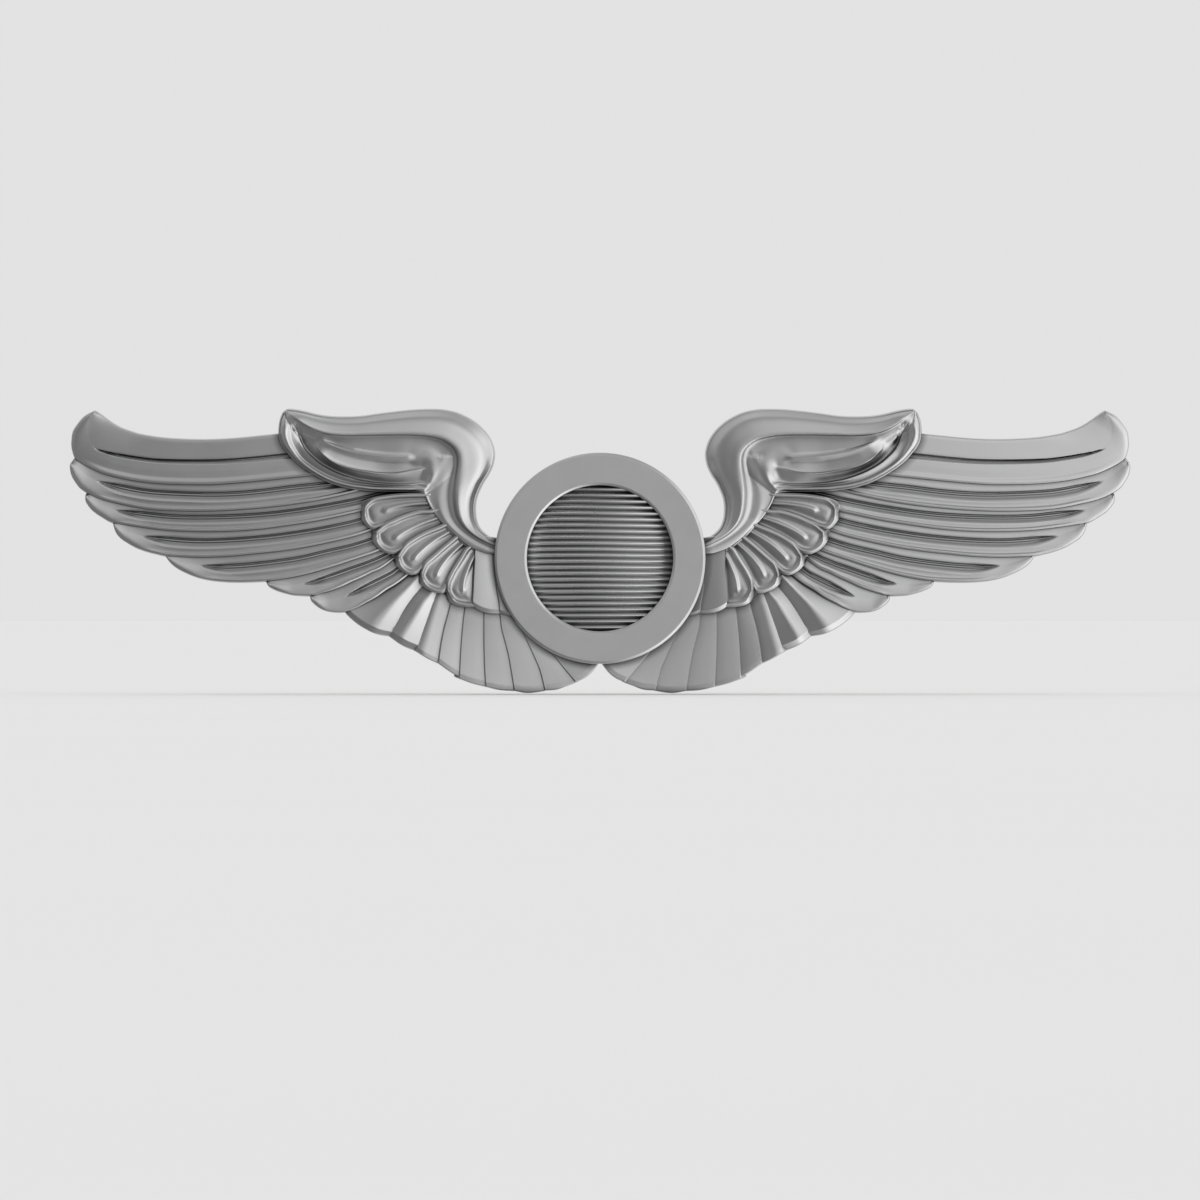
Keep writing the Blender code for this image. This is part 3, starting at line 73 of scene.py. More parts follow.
# Outlines of the left wing, mm from the ring's centre: (across, up).
PRIMARIES = [
    dict(  # leading primary
        upper=[
            (-19.37, 9.22), (-21.53, 9.01), (-22.97, 8.86), (-24.41, 8.72), (-25.84, 8.58), (-27.28, 8.48),
            (-28.72, 8.45), (-30.16, 8.49), (-31.6, 8.6), (-33.03, 8.83), (-33.75, 9.04), (-34.47, 9.3),
            (-35.05, 9.62), (-35.48, 9.91), (-35.91, 10.23), (-36.34, 10.52),
        ],
        lower=[
            (-18.66, 6.28), (-20.81, 6.02), (-22.25, 5.88), (-23.69, 5.73), (-25.13, 5.59), (-26.56, 5.47),
            (-28, 5.38), (-29.44, 5.38), (-30.88, 5.41), (-32.31, 5.51), (-33.75, 5.7), (-35.19, 6.02),
            (-35.91, 6.24), (-36.63, 6.56), (-37.35, 6.96), (-37.71, 7.28), (-37.92, 8), (-37.92, 8.5),
            (-37.85, 9.01), (-37.63, 9.44), (-37.06, 10.12), (-36.34, 10.52),
        ],
        quill=[
            (-19.37, 7.64), (-22.47, 7.43), (-25.13, 7.17), (-27.28, 7.02), (-29.44, 7), (-31.6, 7.05),
            (-33.03, 7.2), (-34.47, 7.43), (-35.55, 7.66), (-36.41, 7.92),
        ],
    ),
    dict(  # primary 2
        upper=[
            (-17.22, 6.92), (-19.37, 6.64), (-22.25, 6.31), (-25.13, 6.02), (-28, 5.82), (-30.88, 5.84),
            (-33.75, 6.13), (-35.91, 6.67), (-37.06, 7.21), (-37.63, 7.21), (-37.96, 6.85),
        ],
        lower=[
            (-16.5, 5.13), (-17.94, 4.77), (-19.37, 4.44), (-20.81, 4.16), (-22.97, 3.85), (-25.13, 3.64),
            (-27.28, 3.5), (-29.44, 3.47), (-31.6, 3.54), (-33.03, 3.69), (-34.47, 3.98), (-35.55, 4.23),
            (-36.27, 4.48), (-36.84, 4.77), (-37.35, 5.13), (-37.63, 5.49), (-37.85, 5.84), (-37.99, 6.2),
            (-38.04, 6.64), (-37.96, 6.85),
        ],
        quill=[
            (-17.94, 5.63), (-19.37, 5.34), (-22.25, 5.02), (-24.41, 4.74), (-26.56, 4.57), (-28.72, 4.55),
            (-31.6, 4.67), (-33.03, 4.82), (-34.47, 5.1), (-36.12, 5.52),
        ],
    ),
    dict(  # primary 3
        upper=[
            (-12.19, 6.49), (-14.34, 6.2), (-16.5, 5.63), (-17.94, 5.27), (-20.81, 4.69), (-22.97, 4.33),
            (-25.13, 4.08), (-27.28, 3.94), (-29.44, 3.9), (-31.6, 3.98), (-33.75, 4.23), (-35.55, 4.69),
            (-36.48, 4.84), (-36.92, 4.55),
        ],
        lower=[
            (-12.19, 4.12), (-14.34, 3.9), (-16.86, 3.51), (-17.94, 3.29), (-20.09, 2.83), (-22.25, 2.48),
            (-24.41, 2.19), (-26.56, 2.03), (-28.72, 2), (-30.88, 2.08), (-32.31, 2.23), (-33.75, 2.43),
            (-35.05, 2.65), (-35.77, 3.04), (-36.12, 3.26), (-36.48, 3.54), (-36.77, 3.9), (-36.92, 4.19),
            (-36.92, 4.55),
        ],
        quill=[
            (-17.94, 4.05), (-20.09, 3.65), (-22.97, 3.22), (-25.84, 2.98), (-28.72, 2.9), (-30.88, 2.95),
            (-33.03, 3.18), (-34.83, 3.44),
        ],
    ),
    dict(  # primary 4
        upper=[
            (-16.35, 4.19), (-17.94, 3.8), (-20.09, 3.29), (-22.25, 2.93), (-24.41, 2.65), (-26.56, 2.48),
            (-28.72, 2.44), (-30.88, 2.52), (-32.31, 2.68), (-33.75, 2.86), (-34.62, 2.83), (-34.94, 2.54),
        ],
        lower=[
            (-16.14, 2.18), (-17.94, 1.6), (-20.81, 0.96), (-22.97, 0.61), (-25.13, 0.38), (-26.56, 0.24),
            (-28, 0.17), (-29.44, 0.17), (-31.09, 0.24), (-31.81, 0.38), (-32.6, 0.58), (-33.39, 0.88),
            (-34.08, 1.28), (-34.47, 1.57), (-34.76, 1.96), (-34.94, 2.54),
        ],
        quill=[
            (-17.94, 2.47), (-20.09, 2.03), (-22.97, 1.58), (-25.84, 1.3), (-28.72, 1.19), (-30.88, 1.32),
            (-32.89, 1.57),
        ],
    ),
    dict(  # primary 5
        upper=[
            (-15.42, 2.68), (-17.94, 2.11), (-20.81, 1.46), (-22.97, 1.1), (-25.13, 0.85), (-26.56, 0.7),
            (-28, 0.63), (-29.44, 0.63), (-30.73, 0.6), (-31.16, 0.2),
        ],
        lower=[
            (-14.7, 1.17), (-15.78, 0.67), (-16.5, 0.38), (-17.94, -0.09), (-19.01, -0.45), (-20.45, -0.88),
            (-21.89, -1.24), (-23.33, -1.49), (-23.98, -1.55), (-24.77, -1.6), (-25.84, -1.63), (-26.92, -1.6),
            (-27.86, -1.51), (-28.72, -1.34), (-29.44, -1.09), (-30.12, -0.77), (-30.52, -0.52), (-30.88, -0.19),
            (-31.16, 0.2),
        ],
        quill=[
            (-16.5, 1.24), (-17.94, 0.78), (-19.73, 0.38), (-21.53, -0.05), (-23.69, -0.37), (-25.84, -0.59),
            (-27.28, -0.63), (-28.72, -0.54),
        ],
    ),
    dict(  # primary 6
        upper=[
            (-14.34, 1.53), (-15.78, 0.96), (-17.94, 0.38), (-20.45, -0.37), (-21.89, -0.73), (-22.97, -0.98),
            (-23.83, -1.34), (-23.9, -1.7),
        ],
        lower=[
            (-14.49, 0.38), (-14.85, 0.02), (-15.78, -0.66), (-16.5, -0.98), (-17.22, -1.34), (-17.94, -1.65),
            (-18.66, -1.99), (-19.37, -2.25), (-20.09, -2.46), (-20.67, -2.6), (-21.89, -2.57), (-22.61, -2.42),
            (-23.18, -2.24), (-23.69, -1.99), (-23.9, -1.7),
        ],
        quill=[
            (-14.7, 0.52), (-15.42, 0.17), (-16.5, -0.34), (-17.94, -0.84), (-19.37, -1.34), (-20.45, -1.67),
            (-21.32, -1.85),
        ],
    ),
    dict(  # innermost primary
        upper=[
            (-13.48, 0.67), (-14.34, 0.38), (-15.78, -0.19), (-17.22, -0.84), (-18.3, -1.38), (-19.37, -1.81),
            (-20.38, -2.28), (-20.74, -2.71),
        ],
        lower=[
            (-13.48, -0.77), (-13.98, -1.27), (-14.7, -1.81), (-15.42, -2.24), (-16.14, -2.75), (-16.86, -3.14),
            (-17.58, -3.52), (-18.3, -3.75), (-18.87, -3.79), (-19.52, -3.72), (-20.02, -3.54), (-20.38, -3.29),
            (-20.67, -3), (-20.74, -2.71),
        ],
        quill=[
            (-13.62, -0.12), (-14.49, -0.77), (-15.06, -1.2), (-16.5, -1.92), (-17.58, -2.42), (-18.3, -2.75),
        ],
    ),
]
SECONDARIES = [
    dict(  # secondary 1
        outer=[
            (-12.54, -0.12), (-13.84, -1.09), (-14.7, -1.81), (-16.14, -2.75), (-17.58, -3.52), (-18.3, -3.86),
        ],
        inner=[
            (-11.75, -0.55), (-12.76, -1.92), (-13.48, -2.78), (-14.13, -3.72), (-14.63, -4.65), (-15.06, -5.55),
        ],
        tip=[
            (-18.3, -3.86), (-17.94, -4.22), (-17.43, -4.65), (-16.79, -5.05), (-16.07, -5.37), (-15.06, -5.55),
        ],
        ridge=[
            (-12.19, -0.34), (-13.34, -1.49), (-13.98, -2.14), (-14.7, -2.85), (-15.42, -3.64), (-16.21, -4.65),
        ],
        chamfer=0.30,
    ),
    dict(  # secondary 2
        outer=[
            (-11.75, -0.55), (-12.76, -1.92), (-13.48, -2.78), (-14.13, -3.72), (-14.7, -4.51), (-15.28, -5.44),
        ],
        inner=[
            (-10.96, -0.84), (-11.54, -2.14), (-11.9, -3.29), (-12.19, -4.22), (-12.62, -5.3), (-13.05, -6.66),
        ],
        tip=[
            (-15.28, -5.44), (-14.49, -6.02), (-13.91, -6.34), (-13.05, -6.66),
        ],
        ridge=[
            (-11.18, -1.2), (-11.75, -2.28), (-12.62, -3), (-13.19, -3.86), (-13.77, -4.72), (-14.34, -5.59),
        ],
        chamfer=0.36,
    ),
    dict(  # secondary 3
        outer=[
            (-11.25, -0.84), (-11.83, -2.49), (-12.11, -3.29), (-12.4, -4.22), (-12.69, -5.15), (-12.98, -6.02),
            (-13.19, -6.66),
        ],
        inner=[
            (-10.1, -1.42), (-10.46, -3), (-10.75, -4.08), (-11.04, -5.3), (-11.25, -6.45), (-11.39, -7.6),
        ],
        tip=[
            (-13.19, -6.66), (-12.33, -7.17), (-11.39, -7.6),
        ],
        chamfer=0.26,
    ),
    dict(  # secondary 4
        outer=[
            (-10.32, -1.56), (-10.68, -3.21), (-10.89, -4.08), (-11.18, -5.15), (-11.39, -6.23), (-11.57, -7.53),
        ],
        inner=[
            (-9.31, -2.14), (-9.53, -3.57), (-9.67, -4.58), (-9.78, -5.73), (-9.85, -6.95), (-9.88, -8.61),
        ],
        tip=[
            (-11.57, -7.53), (-10.75, -8.1), (-9.88, -8.61),
        ],
        chamfer=0.33,
    ),
    dict(  # secondary 5
        outer=[
            (-9.53, -2.28), (-9.67, -3.57), (-9.78, -4.44), (-9.88, -5.51), (-9.96, -6.59), (-10.06, -8.61),
        ],
        inner=[
            (-8.09, -2.71), (-8.09, -3.93), (-8.09, -5.51), (-8.09, -6.95), (-8.02, -8.17), (-8.02, -9.22),
        ],
        tip=[
            (-10.06, -8.61), (-9.17, -8.93), (-8.02, -9.22),
        ],
        chamfer=0.32,
    ),
    dict(  # secondary 6
        outer=[
            (-8.3, -2.71), (-8.3, -3.93), (-8.3, -5.51), (-8.28, -6.95), (-8.23, -8.17), (-8.16, -9.18),
        ],
        inner=[
            (-7.01, -2.85), (-6.94, -3.93), (-6.79, -5.15), (-6.51, -6.23), (-6.25, -7.31), (-6, -9.47),
        ],
        tip=[
            (-8.16, -9.18), (-7.15, -9.4), (-6, -9.47),
        ],
        chamfer=0.29,
    ),
    dict(  # secondary 7
        outer=[
            (-7.3, -2.85), (-7.15, -4.08), (-7.01, -5.15), (-6.72, -6.23), (-6.47, -7.31), (-6.11, -9.47),
        ],
        inner=[
            (-5.72, -3.86), (-5.28, -5.01), (-4.85, -6.09), (-4.42, -7.02), (-4.06, -8.03), (-3.81, -9.43),
        ],
        tip=[
            (-6.11, -9.47), (-5.14, -9.61), (-3.81, -9.43),
        ],
        chamfer=0.37,
    ),
    dict(  # secondary 8
        outer=[
            (-5.93, -4.08), (-5.5, -5.3), (-5.14, -6.09), (-4.71, -7.02), (-4.28, -8.03), (-3.92, -9.43),
        ],
        inner=[
            (-3.92, -5.59), (-3.34, -6.38), (-2.77, -7.1), (-2.26, -7.74), (-1.91, -8.32), (-1.62, -8.82),
        ],
        tip=[
            (-3.92, -9.43), (-3.13, -9.36), (-2.41, -9.11), (-1.62, -8.82),
        ],
        chamfer=0.33,
    ),
    dict(  # secondary 9
        outer=[
            (-4.28, -5.59), (-3.77, -6.38), (-3.2, -7.1), (-2.62, -7.81), (-2.12, -8.39), (-1.76, -8.82),
        ],
        inner=[
            (-1.76, -5.01), (-1.26, -5.73), (-0.9, -6.3), (-0.61, -6.74), (-0.4, -7.17), (-0.18, -7.53),
        ],
        tip=[
            (-1.76, -8.82), (-1.19, -8.57), (-0.68, -8.17), (-0.18, -7.53),
        ],
        chamfer=0.27,
    ),
]
COVERTS = [
    dict(  # covert 1
        outer=[
            (-11.47, 4.77), (-12.62, 4.66), (-13.62, 4.64), (-14.7, 4.59), (-15.78, 4.44), (-16.5, 4.26),
            (-17, 4.05), (-17.22, 3.76), (-17.29, 3.4),
        ],
        inner=[
            (-11.32, 3.33), (-12.19, 3.26), (-12.9, 3.18), (-13.62, 3.04), (-14.34, 2.79), (-15.06, 2.5),
            (-15.78, 2.21), (-16.43, 2.14), (-17, 2.68), (-17.29, 3.4),
        ],
        rib=[
            (-11.47, 3.98), (-12.62, 3.94), (-13.62, 3.87), (-14.7, 3.69), (-15.64, 3.4),
        ],
    ),
    dict(  # covert 2
        outer=[
            (-10.39, 3.98), (-11.39, 3.69), (-12.19, 3.47), (-12.9, 3.44), (-13.62, 3.26), (-14.34, 3.01),
            (-15.06, 2.68), (-15.78, 2.43), (-16.43, 2.18), (-16.5, 1.89),
        ],
        inner=[
            (-10.39, 2.47), (-11.39, 2.18), (-12.19, 1.82), (-12.9, 1.46), (-13.62, 1.03), (-14.34, 0.52),
            (-14.99, 0.35), (-15.49, 0.49), (-15.92, 0.78), (-16.28, 1.24), (-16.5, 1.89),
        ],
        rib=[
            (-10.75, 3.11), (-11.68, 2.9), (-12.9, 2.47), (-13.98, 1.96), (-14.85, 1.39),
        ],
    ),
    dict(  # covert 3
        outer=[
            (-9.31, 3.47), (-10.53, 2.83), (-11.39, 2.39), (-12.19, 2.07), (-12.9, 1.75), (-13.62, 1.32),
            (-14.34, 0.81), (-14.85, 0.38), (-14.92, 0.09),
        ],
        inner=[
            (-9.31, 1.89), (-10.32, 1.24), (-10.89, 0.88), (-11.47, 0.38), (-12.04, -0.12), (-12.62, -0.66),
            (-13.12, -1.06), (-13.55, -1.16), (-13.91, -1.06), (-14.34, -0.77), (-14.7, -0.34), (-14.92, 0.09),
        ],
        rib=[
            (-9.67, 2.61), (-10.89, 1.89), (-11.75, 1.39), (-12.62, 0.74), (-13.48, -0.12),
        ],
    ),
    dict(  # covert 4
        outer=[
            (-9.31, 2.68), (-9.88, 2.03), (-10.53, 1.46), (-10.89, 1.17), (-11.47, 0.67), (-12.04, 0.17),
            (-12.62, -0.34), (-13.12, -0.91), (-13.19, -1.34),
        ],
        inner=[
            (-8.45, 1.32), (-9.17, 0.67), (-9.74, 0.09), (-10.1, -0.48), (-10.39, -0.98), (-10.75, -1.7),
            (-11.18, -2.39), (-11.61, -2.46), (-12.04, -2.35), (-12.54, -2.1), (-12.98, -1.7), (-13.19, -1.34),
        ],
        rib=[
            (-8.88, 1.89), (-9.88, 1.03), (-10.75, 0.24), (-11.39, -0.55), (-11.83, -1.34),
        ],
    ),
    dict(  # covert 5
        outer=[
            (-8.73, 1.82), (-9.02, 1.24), (-9.6, 0.74), (-9.88, 0.31), (-10.24, -0.27), (-10.6, -0.84),
            (-10.89, -1.42), (-11.25, -2.21), (-11.14, -2.64),
        ],
        inner=[
            (-7.73, 0.74), (-8.45, 0.17), (-8.59, -0.34), (-8.66, -1.2), (-8.73, -2.28), (-8.88, -3.36),
            (-9.31, -3.47), (-9.88, -3.43), (-10.46, -3.29), (-10.89, -3), (-11.14, -2.64),
        ],
        rib=[
            (-8.3, 1.17), (-9.02, 0.17), (-9.45, -0.7), (-9.74, -1.49), (-9.88, -2.42),
        ],
    ),
    dict(  # covert 6
        outer=[
            (-8.73, 1.6), (-8.95, 0.52), (-8.95, -0.12), (-9.02, -1.2), (-9.06, -2.28), (-9.13, -3.36),
        ],
        inner=[
            (-7.01, 1.32), (-7.15, 0.17), (-7.22, -1.2), (-7.19, -2.28), (-7.08, -3.14), (-7.01, -3.93),
        ],
        tip=[
            (-9.13, -3.36), (-8.88, -3.57), (-8.45, -3.79), (-7.87, -3.92), (-7.01, -3.93),
        ],
        chamfer=0.22,
    ),
    dict(  # covert 7
        outer=[
            (-7.37, 1.32), (-7.51, 0.17), (-7.44, -1.2), (-7.37, -2.28), (-7.22, -3.14), (-7.15, -3.86),
        ],
        inner=[
            (-5, 0.96), (-5.14, -0.12), (-5.28, -1.2), (-5.36, -2.28), (-5.43, -3.29), (-5.43, -4.22),
        ],
        tip=[
            (-7.15, -3.86), (-6.79, -3.99), (-6.36, -4.1), (-5.43, -4.22),
        ],
        chamfer=0.14,
    ),
]
SHOULDER = dict(
    top=[
        (-22.65, 10.48), (-22.54, 10.59), (-21.89, 10.55), (-21.17, 10.41), (-20.45, 10.23), (-19.73, 10.11),
        (-19.01, 10.05), (-18.3, 10.04), (-17.58, 10.06), (-16.86, 10.12), (-16.14, 10.23), (-14.7, 10.41),
        (-13.26, 10.55), (-11.83, 10.58), (-11.11, 10.52), (-10.39, 10.36), (-9.81, 10.12), (-9.24, 9.8),
        (-8.73, 9.4), (-8.3, 8.94), (-7.98, 8.43), (-7.8, 7.93), (-7.73, 7.43), (-7.8, 6.92),
        (-7.94, 6.49), (-8.2, 5.99), (-8.52, 5.49), (-8.77, 4.98), (-8.99, 4.41), (-9.09, 3.83),
        (-9.09, 3.26), (-9.02, 2.75), (-8.84, 2.25), (-8.59, 1.89), (-8.23, 1.57), (-7.87, 1.32),
        (-7.51, 1.17), (-6.43, 0.88),
    ],
    bot=[
        (-22.65, 10.48), (-22.75, 10.3), (-22.9, 9.87), (-22.97, 9.37), (-22.97, 8.86), (-22.9, 8.43),
        (-22.68, 8), (-22.39, 7.64), (-21.96, 7.14), (-21.46, 6.71), (-20.88, 6.31), (-20.24, 5.92),
        (-19.52, 5.56), (-18.8, 5.31), (-17.94, 5.09), (-17.07, 4.98), (-16.14, 4.87), (-13.98, 4.84),
        (-13.05, 4.8), (-12.62, 4.69), (-12.47, 4.48), (-12.26, 3.98), (-11.97, 3.47), (-11.61, 2.97),
        (-11.18, 2.47), (-10.75, 1.96), (-10.32, 1.53), (-9.81, 1.1), (-9.31, 0.74), (-8.73, 0.49),
        (-8.16, 0.31), (-7.51, 0.24), (-6.43, 0.09),
    ],
    crest=[
        (-22.11, 10.34), (-21.53, 9.87), (-20.24, 9.44), (-19.01, 9.19), (-17.22, 9.08), (-14.34, 9.12),
        (-12.19, 9.15), (-10.89, 9.01), (-10.1, 8.65), (-9.53, 8.15), (-9.31, 7.64), (-9.35, 6.71),
        (-9.49, 5.77), (-9.71, 4.91), (-9.81, 4.19), (-9.74, 3.47), (-9.45, 2.75), (-8.95, 2.03),
        (-8.3, 1.46), (-7.73, 1.14), (-6.43, 0.74),
    ],
    inner=[
        (-21.67, 9.8), (-21.1, 9.44), (-20.24, 9.12), (-19.37, 8.9), (-18.3, 8.79), (-16.86, 8.76),
        (-14.34, 8.79), (-12.9, 8.76), (-11.83, 8.65), (-11.11, 8.43), (-10.6, 8.15), (-10.24, 7.71),
        (-10.1, 7.21), (-10.1, 6.64), (-10.17, 5.99), (-10.24, 5.27), (-10.28, 4.55), (-10.24, 3.83),
        (-10.14, 3.33), (-9.88, 2.75), (-9.53, 2.18), (-9.02, 1.68), (-8.45, 1.28), (-7.87, 0.96),
        (-6.43, 0.52),
    ],
    valley=[
        (-21.53, 9.55), (-20.67, 9.01), (-19.52, 8.54), (-18.3, 8.29), (-16.5, 8.22), (-14.34, 8.29),
        (-12.54, 8.32), (-11.61, 8.07), (-11.11, 7.57), (-10.82, 6.92), (-10.75, 5.99), (-10.82, 4.91),
        (-10.82, 3.83), (-10.68, 3.11), (-10.32, 2.47), (-9.81, 1.85), (-9.17, 1.32), (-8.45, 0.88),
        (-7.73, 0.63), (-6.43, 0.31),
    ],
    leafU=[
        (-21.32, 9.37), (-20.38, 8.83), (-19.37, 8.32), (-18.3, 7.86), (-17.22, 7.58), (-16.14, 7.39),
        (-14.7, 7.25), (-13.26, 7.22), (-12.04, 7.32),
    ],
    leafL=[
        (-21.24, 9.01), (-20.52, 8.43), (-19.73, 7.64), (-18.8, 6.99), (-17.79, 6.56), (-16.64, 6.31),
        (-15.42, 6.2), (-14.34, 6.24), (-13.48, 6.35), (-12.47, 6.64),
    ],
    pocket=[
        (-21.82, 10.09), (-21.75, 9.44), (-21.53, 8.72), (-21.1, 7.93), (-20.52, 7.28), (-19.81, 6.74),
        (-18.8, 6.31), (-17.79, 6.06), (-16.5, 5.92), (-15.06, 5.84), (-13.26, 5.88), (-12.4, 6.13),
    ],
    ridge2=[
        (-22.03, 9.94), (-22.03, 9.22), (-21.82, 8.43), (-21.24, 7.61), (-20.45, 6.96), (-19.37, 6.35),
        (-17.94, 5.84), (-16.86, 5.63), (-15.42, 5.49), (-13.98, 5.41), (-12.9, 5.49),
    ],
    rim=[
        (-22.32, 10.37), (-22.54, 9.65), (-22.54, 8.94), (-22.32, 8.29), (-21.82, 7.57), (-21.17, 6.96),
        (-20.24, 6.29), (-19.37, 5.84), (-18.66, 5.59), (-17.79, 5.34), (-16.86, 5.2), (-15.42, 5.09),
        (-13.98, 5.02), (-12.98, 5.01), (-12.26, 5.41),
    ],
)
# lines across the shoulder, each from its top edge to its bottom edge
SECTIONS = [
    ((-22.47, 10.59), (-22.68, 10.37)),
    ((-21.96, 10.55), (-22.9, 9.87)),
    ((-21.17, 10.41), (-22.97, 9.08)),
    ((-20.09, 10.16), (-22.68, 8)),
    ((-18.8, 10.04), (-21.89, 7.07)),
    ((-17.58, 10.06), (-20.67, 6.17)),
    ((-16.35, 10.2), (-19.01, 5.38)),
    ((-14.92, 10.39), (-17.07, 4.98)),
    ((-13.48, 10.53), (-15.06, 4.85)),
    ((-12.04, 10.58), (-13.48, 4.82)),
    ((-10.75, 10.45), (-12.83, 4.74)),
    ((-9.53, 9.98), (-12.67, 4.71)),
    ((-8.45, 9.12), (-12.6, 4.67)),
    ((-7.84, 8.07), (-12.53, 4.57)),
    ((-7.76, 7.07), (-12.45, 4.41)),
    ((-8.2, 5.99), (-12.33, 4.16)),
    ((-8.75, 5.02), (-12.19, 3.83)),
    ((-9.04, 4.12), (-11.9, 3.36)),
    ((-9.06, 3.18), (-11.47, 2.79)),
    ((-8.84, 2.25), (-10.82, 2.03)),
    ((-8.3, 1.62), (-9.96, 1.22)),
    ((-7.58, 1.21), (-8.88, 0.56)),
    ((-6.58, 0.92), (-6.94, 0.13)),
]
# fine folds of the shoulder
FOLDS = dict(
    crease=[
        (-22.18, 10.27), (-21.67, 9.91), (-21.17, 9.58), (-20.6, 9.27), (-19.95, 9.04), (-19.45, 8.94),
        (-18.3, 8.85), (-16.79, 8.88), (-14.7, 8.91), (-13.12, 8.89), (-12.04, 8.76), (-11.32, 8.59),
        (-10.71, 8.23), (-10.28, 7.79), (-10.1, 7.25), (-10.1, 6.64), (-10.2, 5.77), (-10.3, 4.77),
        (-10.24, 3.69), (-10.03, 2.86), (-9.6, 2.21), (-8.88, 1.6), (-8.02, 1.14), (-7.44, 0.92),
        (-6.43, 0.67),
    ],
    leafU=[
        (-20.27, 8.65), (-19.73, 8.36), (-19.16, 8.11), (-18.3, 7.79), (-17.58, 7.62), (-16.86, 7.5),
        (-15.78, 7.35), (-14.7, 7.31), (-13.62, 7.29), (-12.9, 7.28),
    ],
    leafL=[
        (-20.49, 8.43), (-20.24, 7.86), (-19.73, 7.35), (-19.16, 6.92), (-18.44, 6.6), (-17.58, 6.37),
        (-16.86, 6.23), (-15.78, 6.09), (-15.06, 6.06), (-14.34, 6.13), (-13.62, 6.28), (-12.98, 6.4),
        (-12.69, 6.46),
    ],
    pocket=[
        (-21.6, 9.87), (-21.56, 9.37), (-21.42, 8.86), (-21.21, 8.32), (-20.81, 7.82), (-20.31, 7.32),
        (-19.81, 6.92), (-19.16, 6.56), (-18.44, 6.23), (-17.58, 5.97), (-16.79, 5.82), (-15.78, 5.7),
        (-14.7, 5.64), (-13.77, 5.66), (-13.05, 5.77),
    ],
    ridge2=[
        (-21.75, 9.94), (-21.76, 9.37), (-21.66, 8.79), (-21.46, 8.18), (-21.1, 7.64), (-20.67, 7.21),
        (-20.17, 6.78), (-19.45, 6.36), (-18.73, 6.02), (-18.01, 5.77), (-17.22, 5.56), (-16.28, 5.41),
        (-15.42, 5.34), (-14.34, 5.31), (-13.48, 5.33), (-12.9, 5.41),
    ],
    groove2=[
        (-22.25, 9.65), (-22.26, 9.08), (-22.11, 8.43), (-21.75, 7.71), (-21.32, 7.14), (-20.81, 6.74),
        (-20.09, 6.28), (-19.3, 5.89), (-18.3, 5.54), (-17.07, 5.34), (-15.78, 5.23), (-14.15, 5.18),
        (-13.19, 5.2),
    ],
    rim=[
        (-22.57, 10.09), (-22.68, 9.51), (-22.61, 8.79), (-22.29, 8), (-21.75, 7.28), (-21.1, 6.67),
        (-20.31, 6.13), (-19.3, 5.61), (-18.3, 5.31), (-16.86, 5.08), (-15.42, 5.01), (-13.98, 4.99),
        (-12.98, 5.01),
    ],
    hem=[
        (-12.9, 7.33), (-12.47, 7.28), (-12.15, 7.03), (-12.04, 6.64), (-12, 6.2), (-12.03, 5.77),
        (-12.17, 5.34), (-12.47, 5.01), (-12.9, 4.84),
    ],
    loopA=[
        (-13.48, 7.29), (-12.9, 7.28), (-12.44, 7.21), (-12.26, 6.96), (-12.27, 6.6), (-12.44, 6.13),
        (-12.72, 5.7), (-13.05, 5.45),
    ],
    loopB=[
        (-13.48, 4.99), (-12.98, 5.01), (-12.47, 5.2), (-12.11, 5.59), (-11.98, 6.06), (-12.04, 6.49),
    ],
)

RING_R_OUT, RING_R_IN, RING_FRONT = 7.58, 5.25, 3.40
POSTS = {"left": (-21.5, 3.3), "centre": (0.0, 0.0), "right": (21.5, 3.3)}
HINGE_X, HINGE_Y = 2.9, 3.45
BACK = -7.3  # where the wings' flat backs lie along Y in the frame; shapes below are drawn from there


# ---------------------------------------------------------------- curves and profiles


def smooth(x):
    x = np.clip(x, 0.0, 1.0)
    return x * x * (3 - 2 * x)


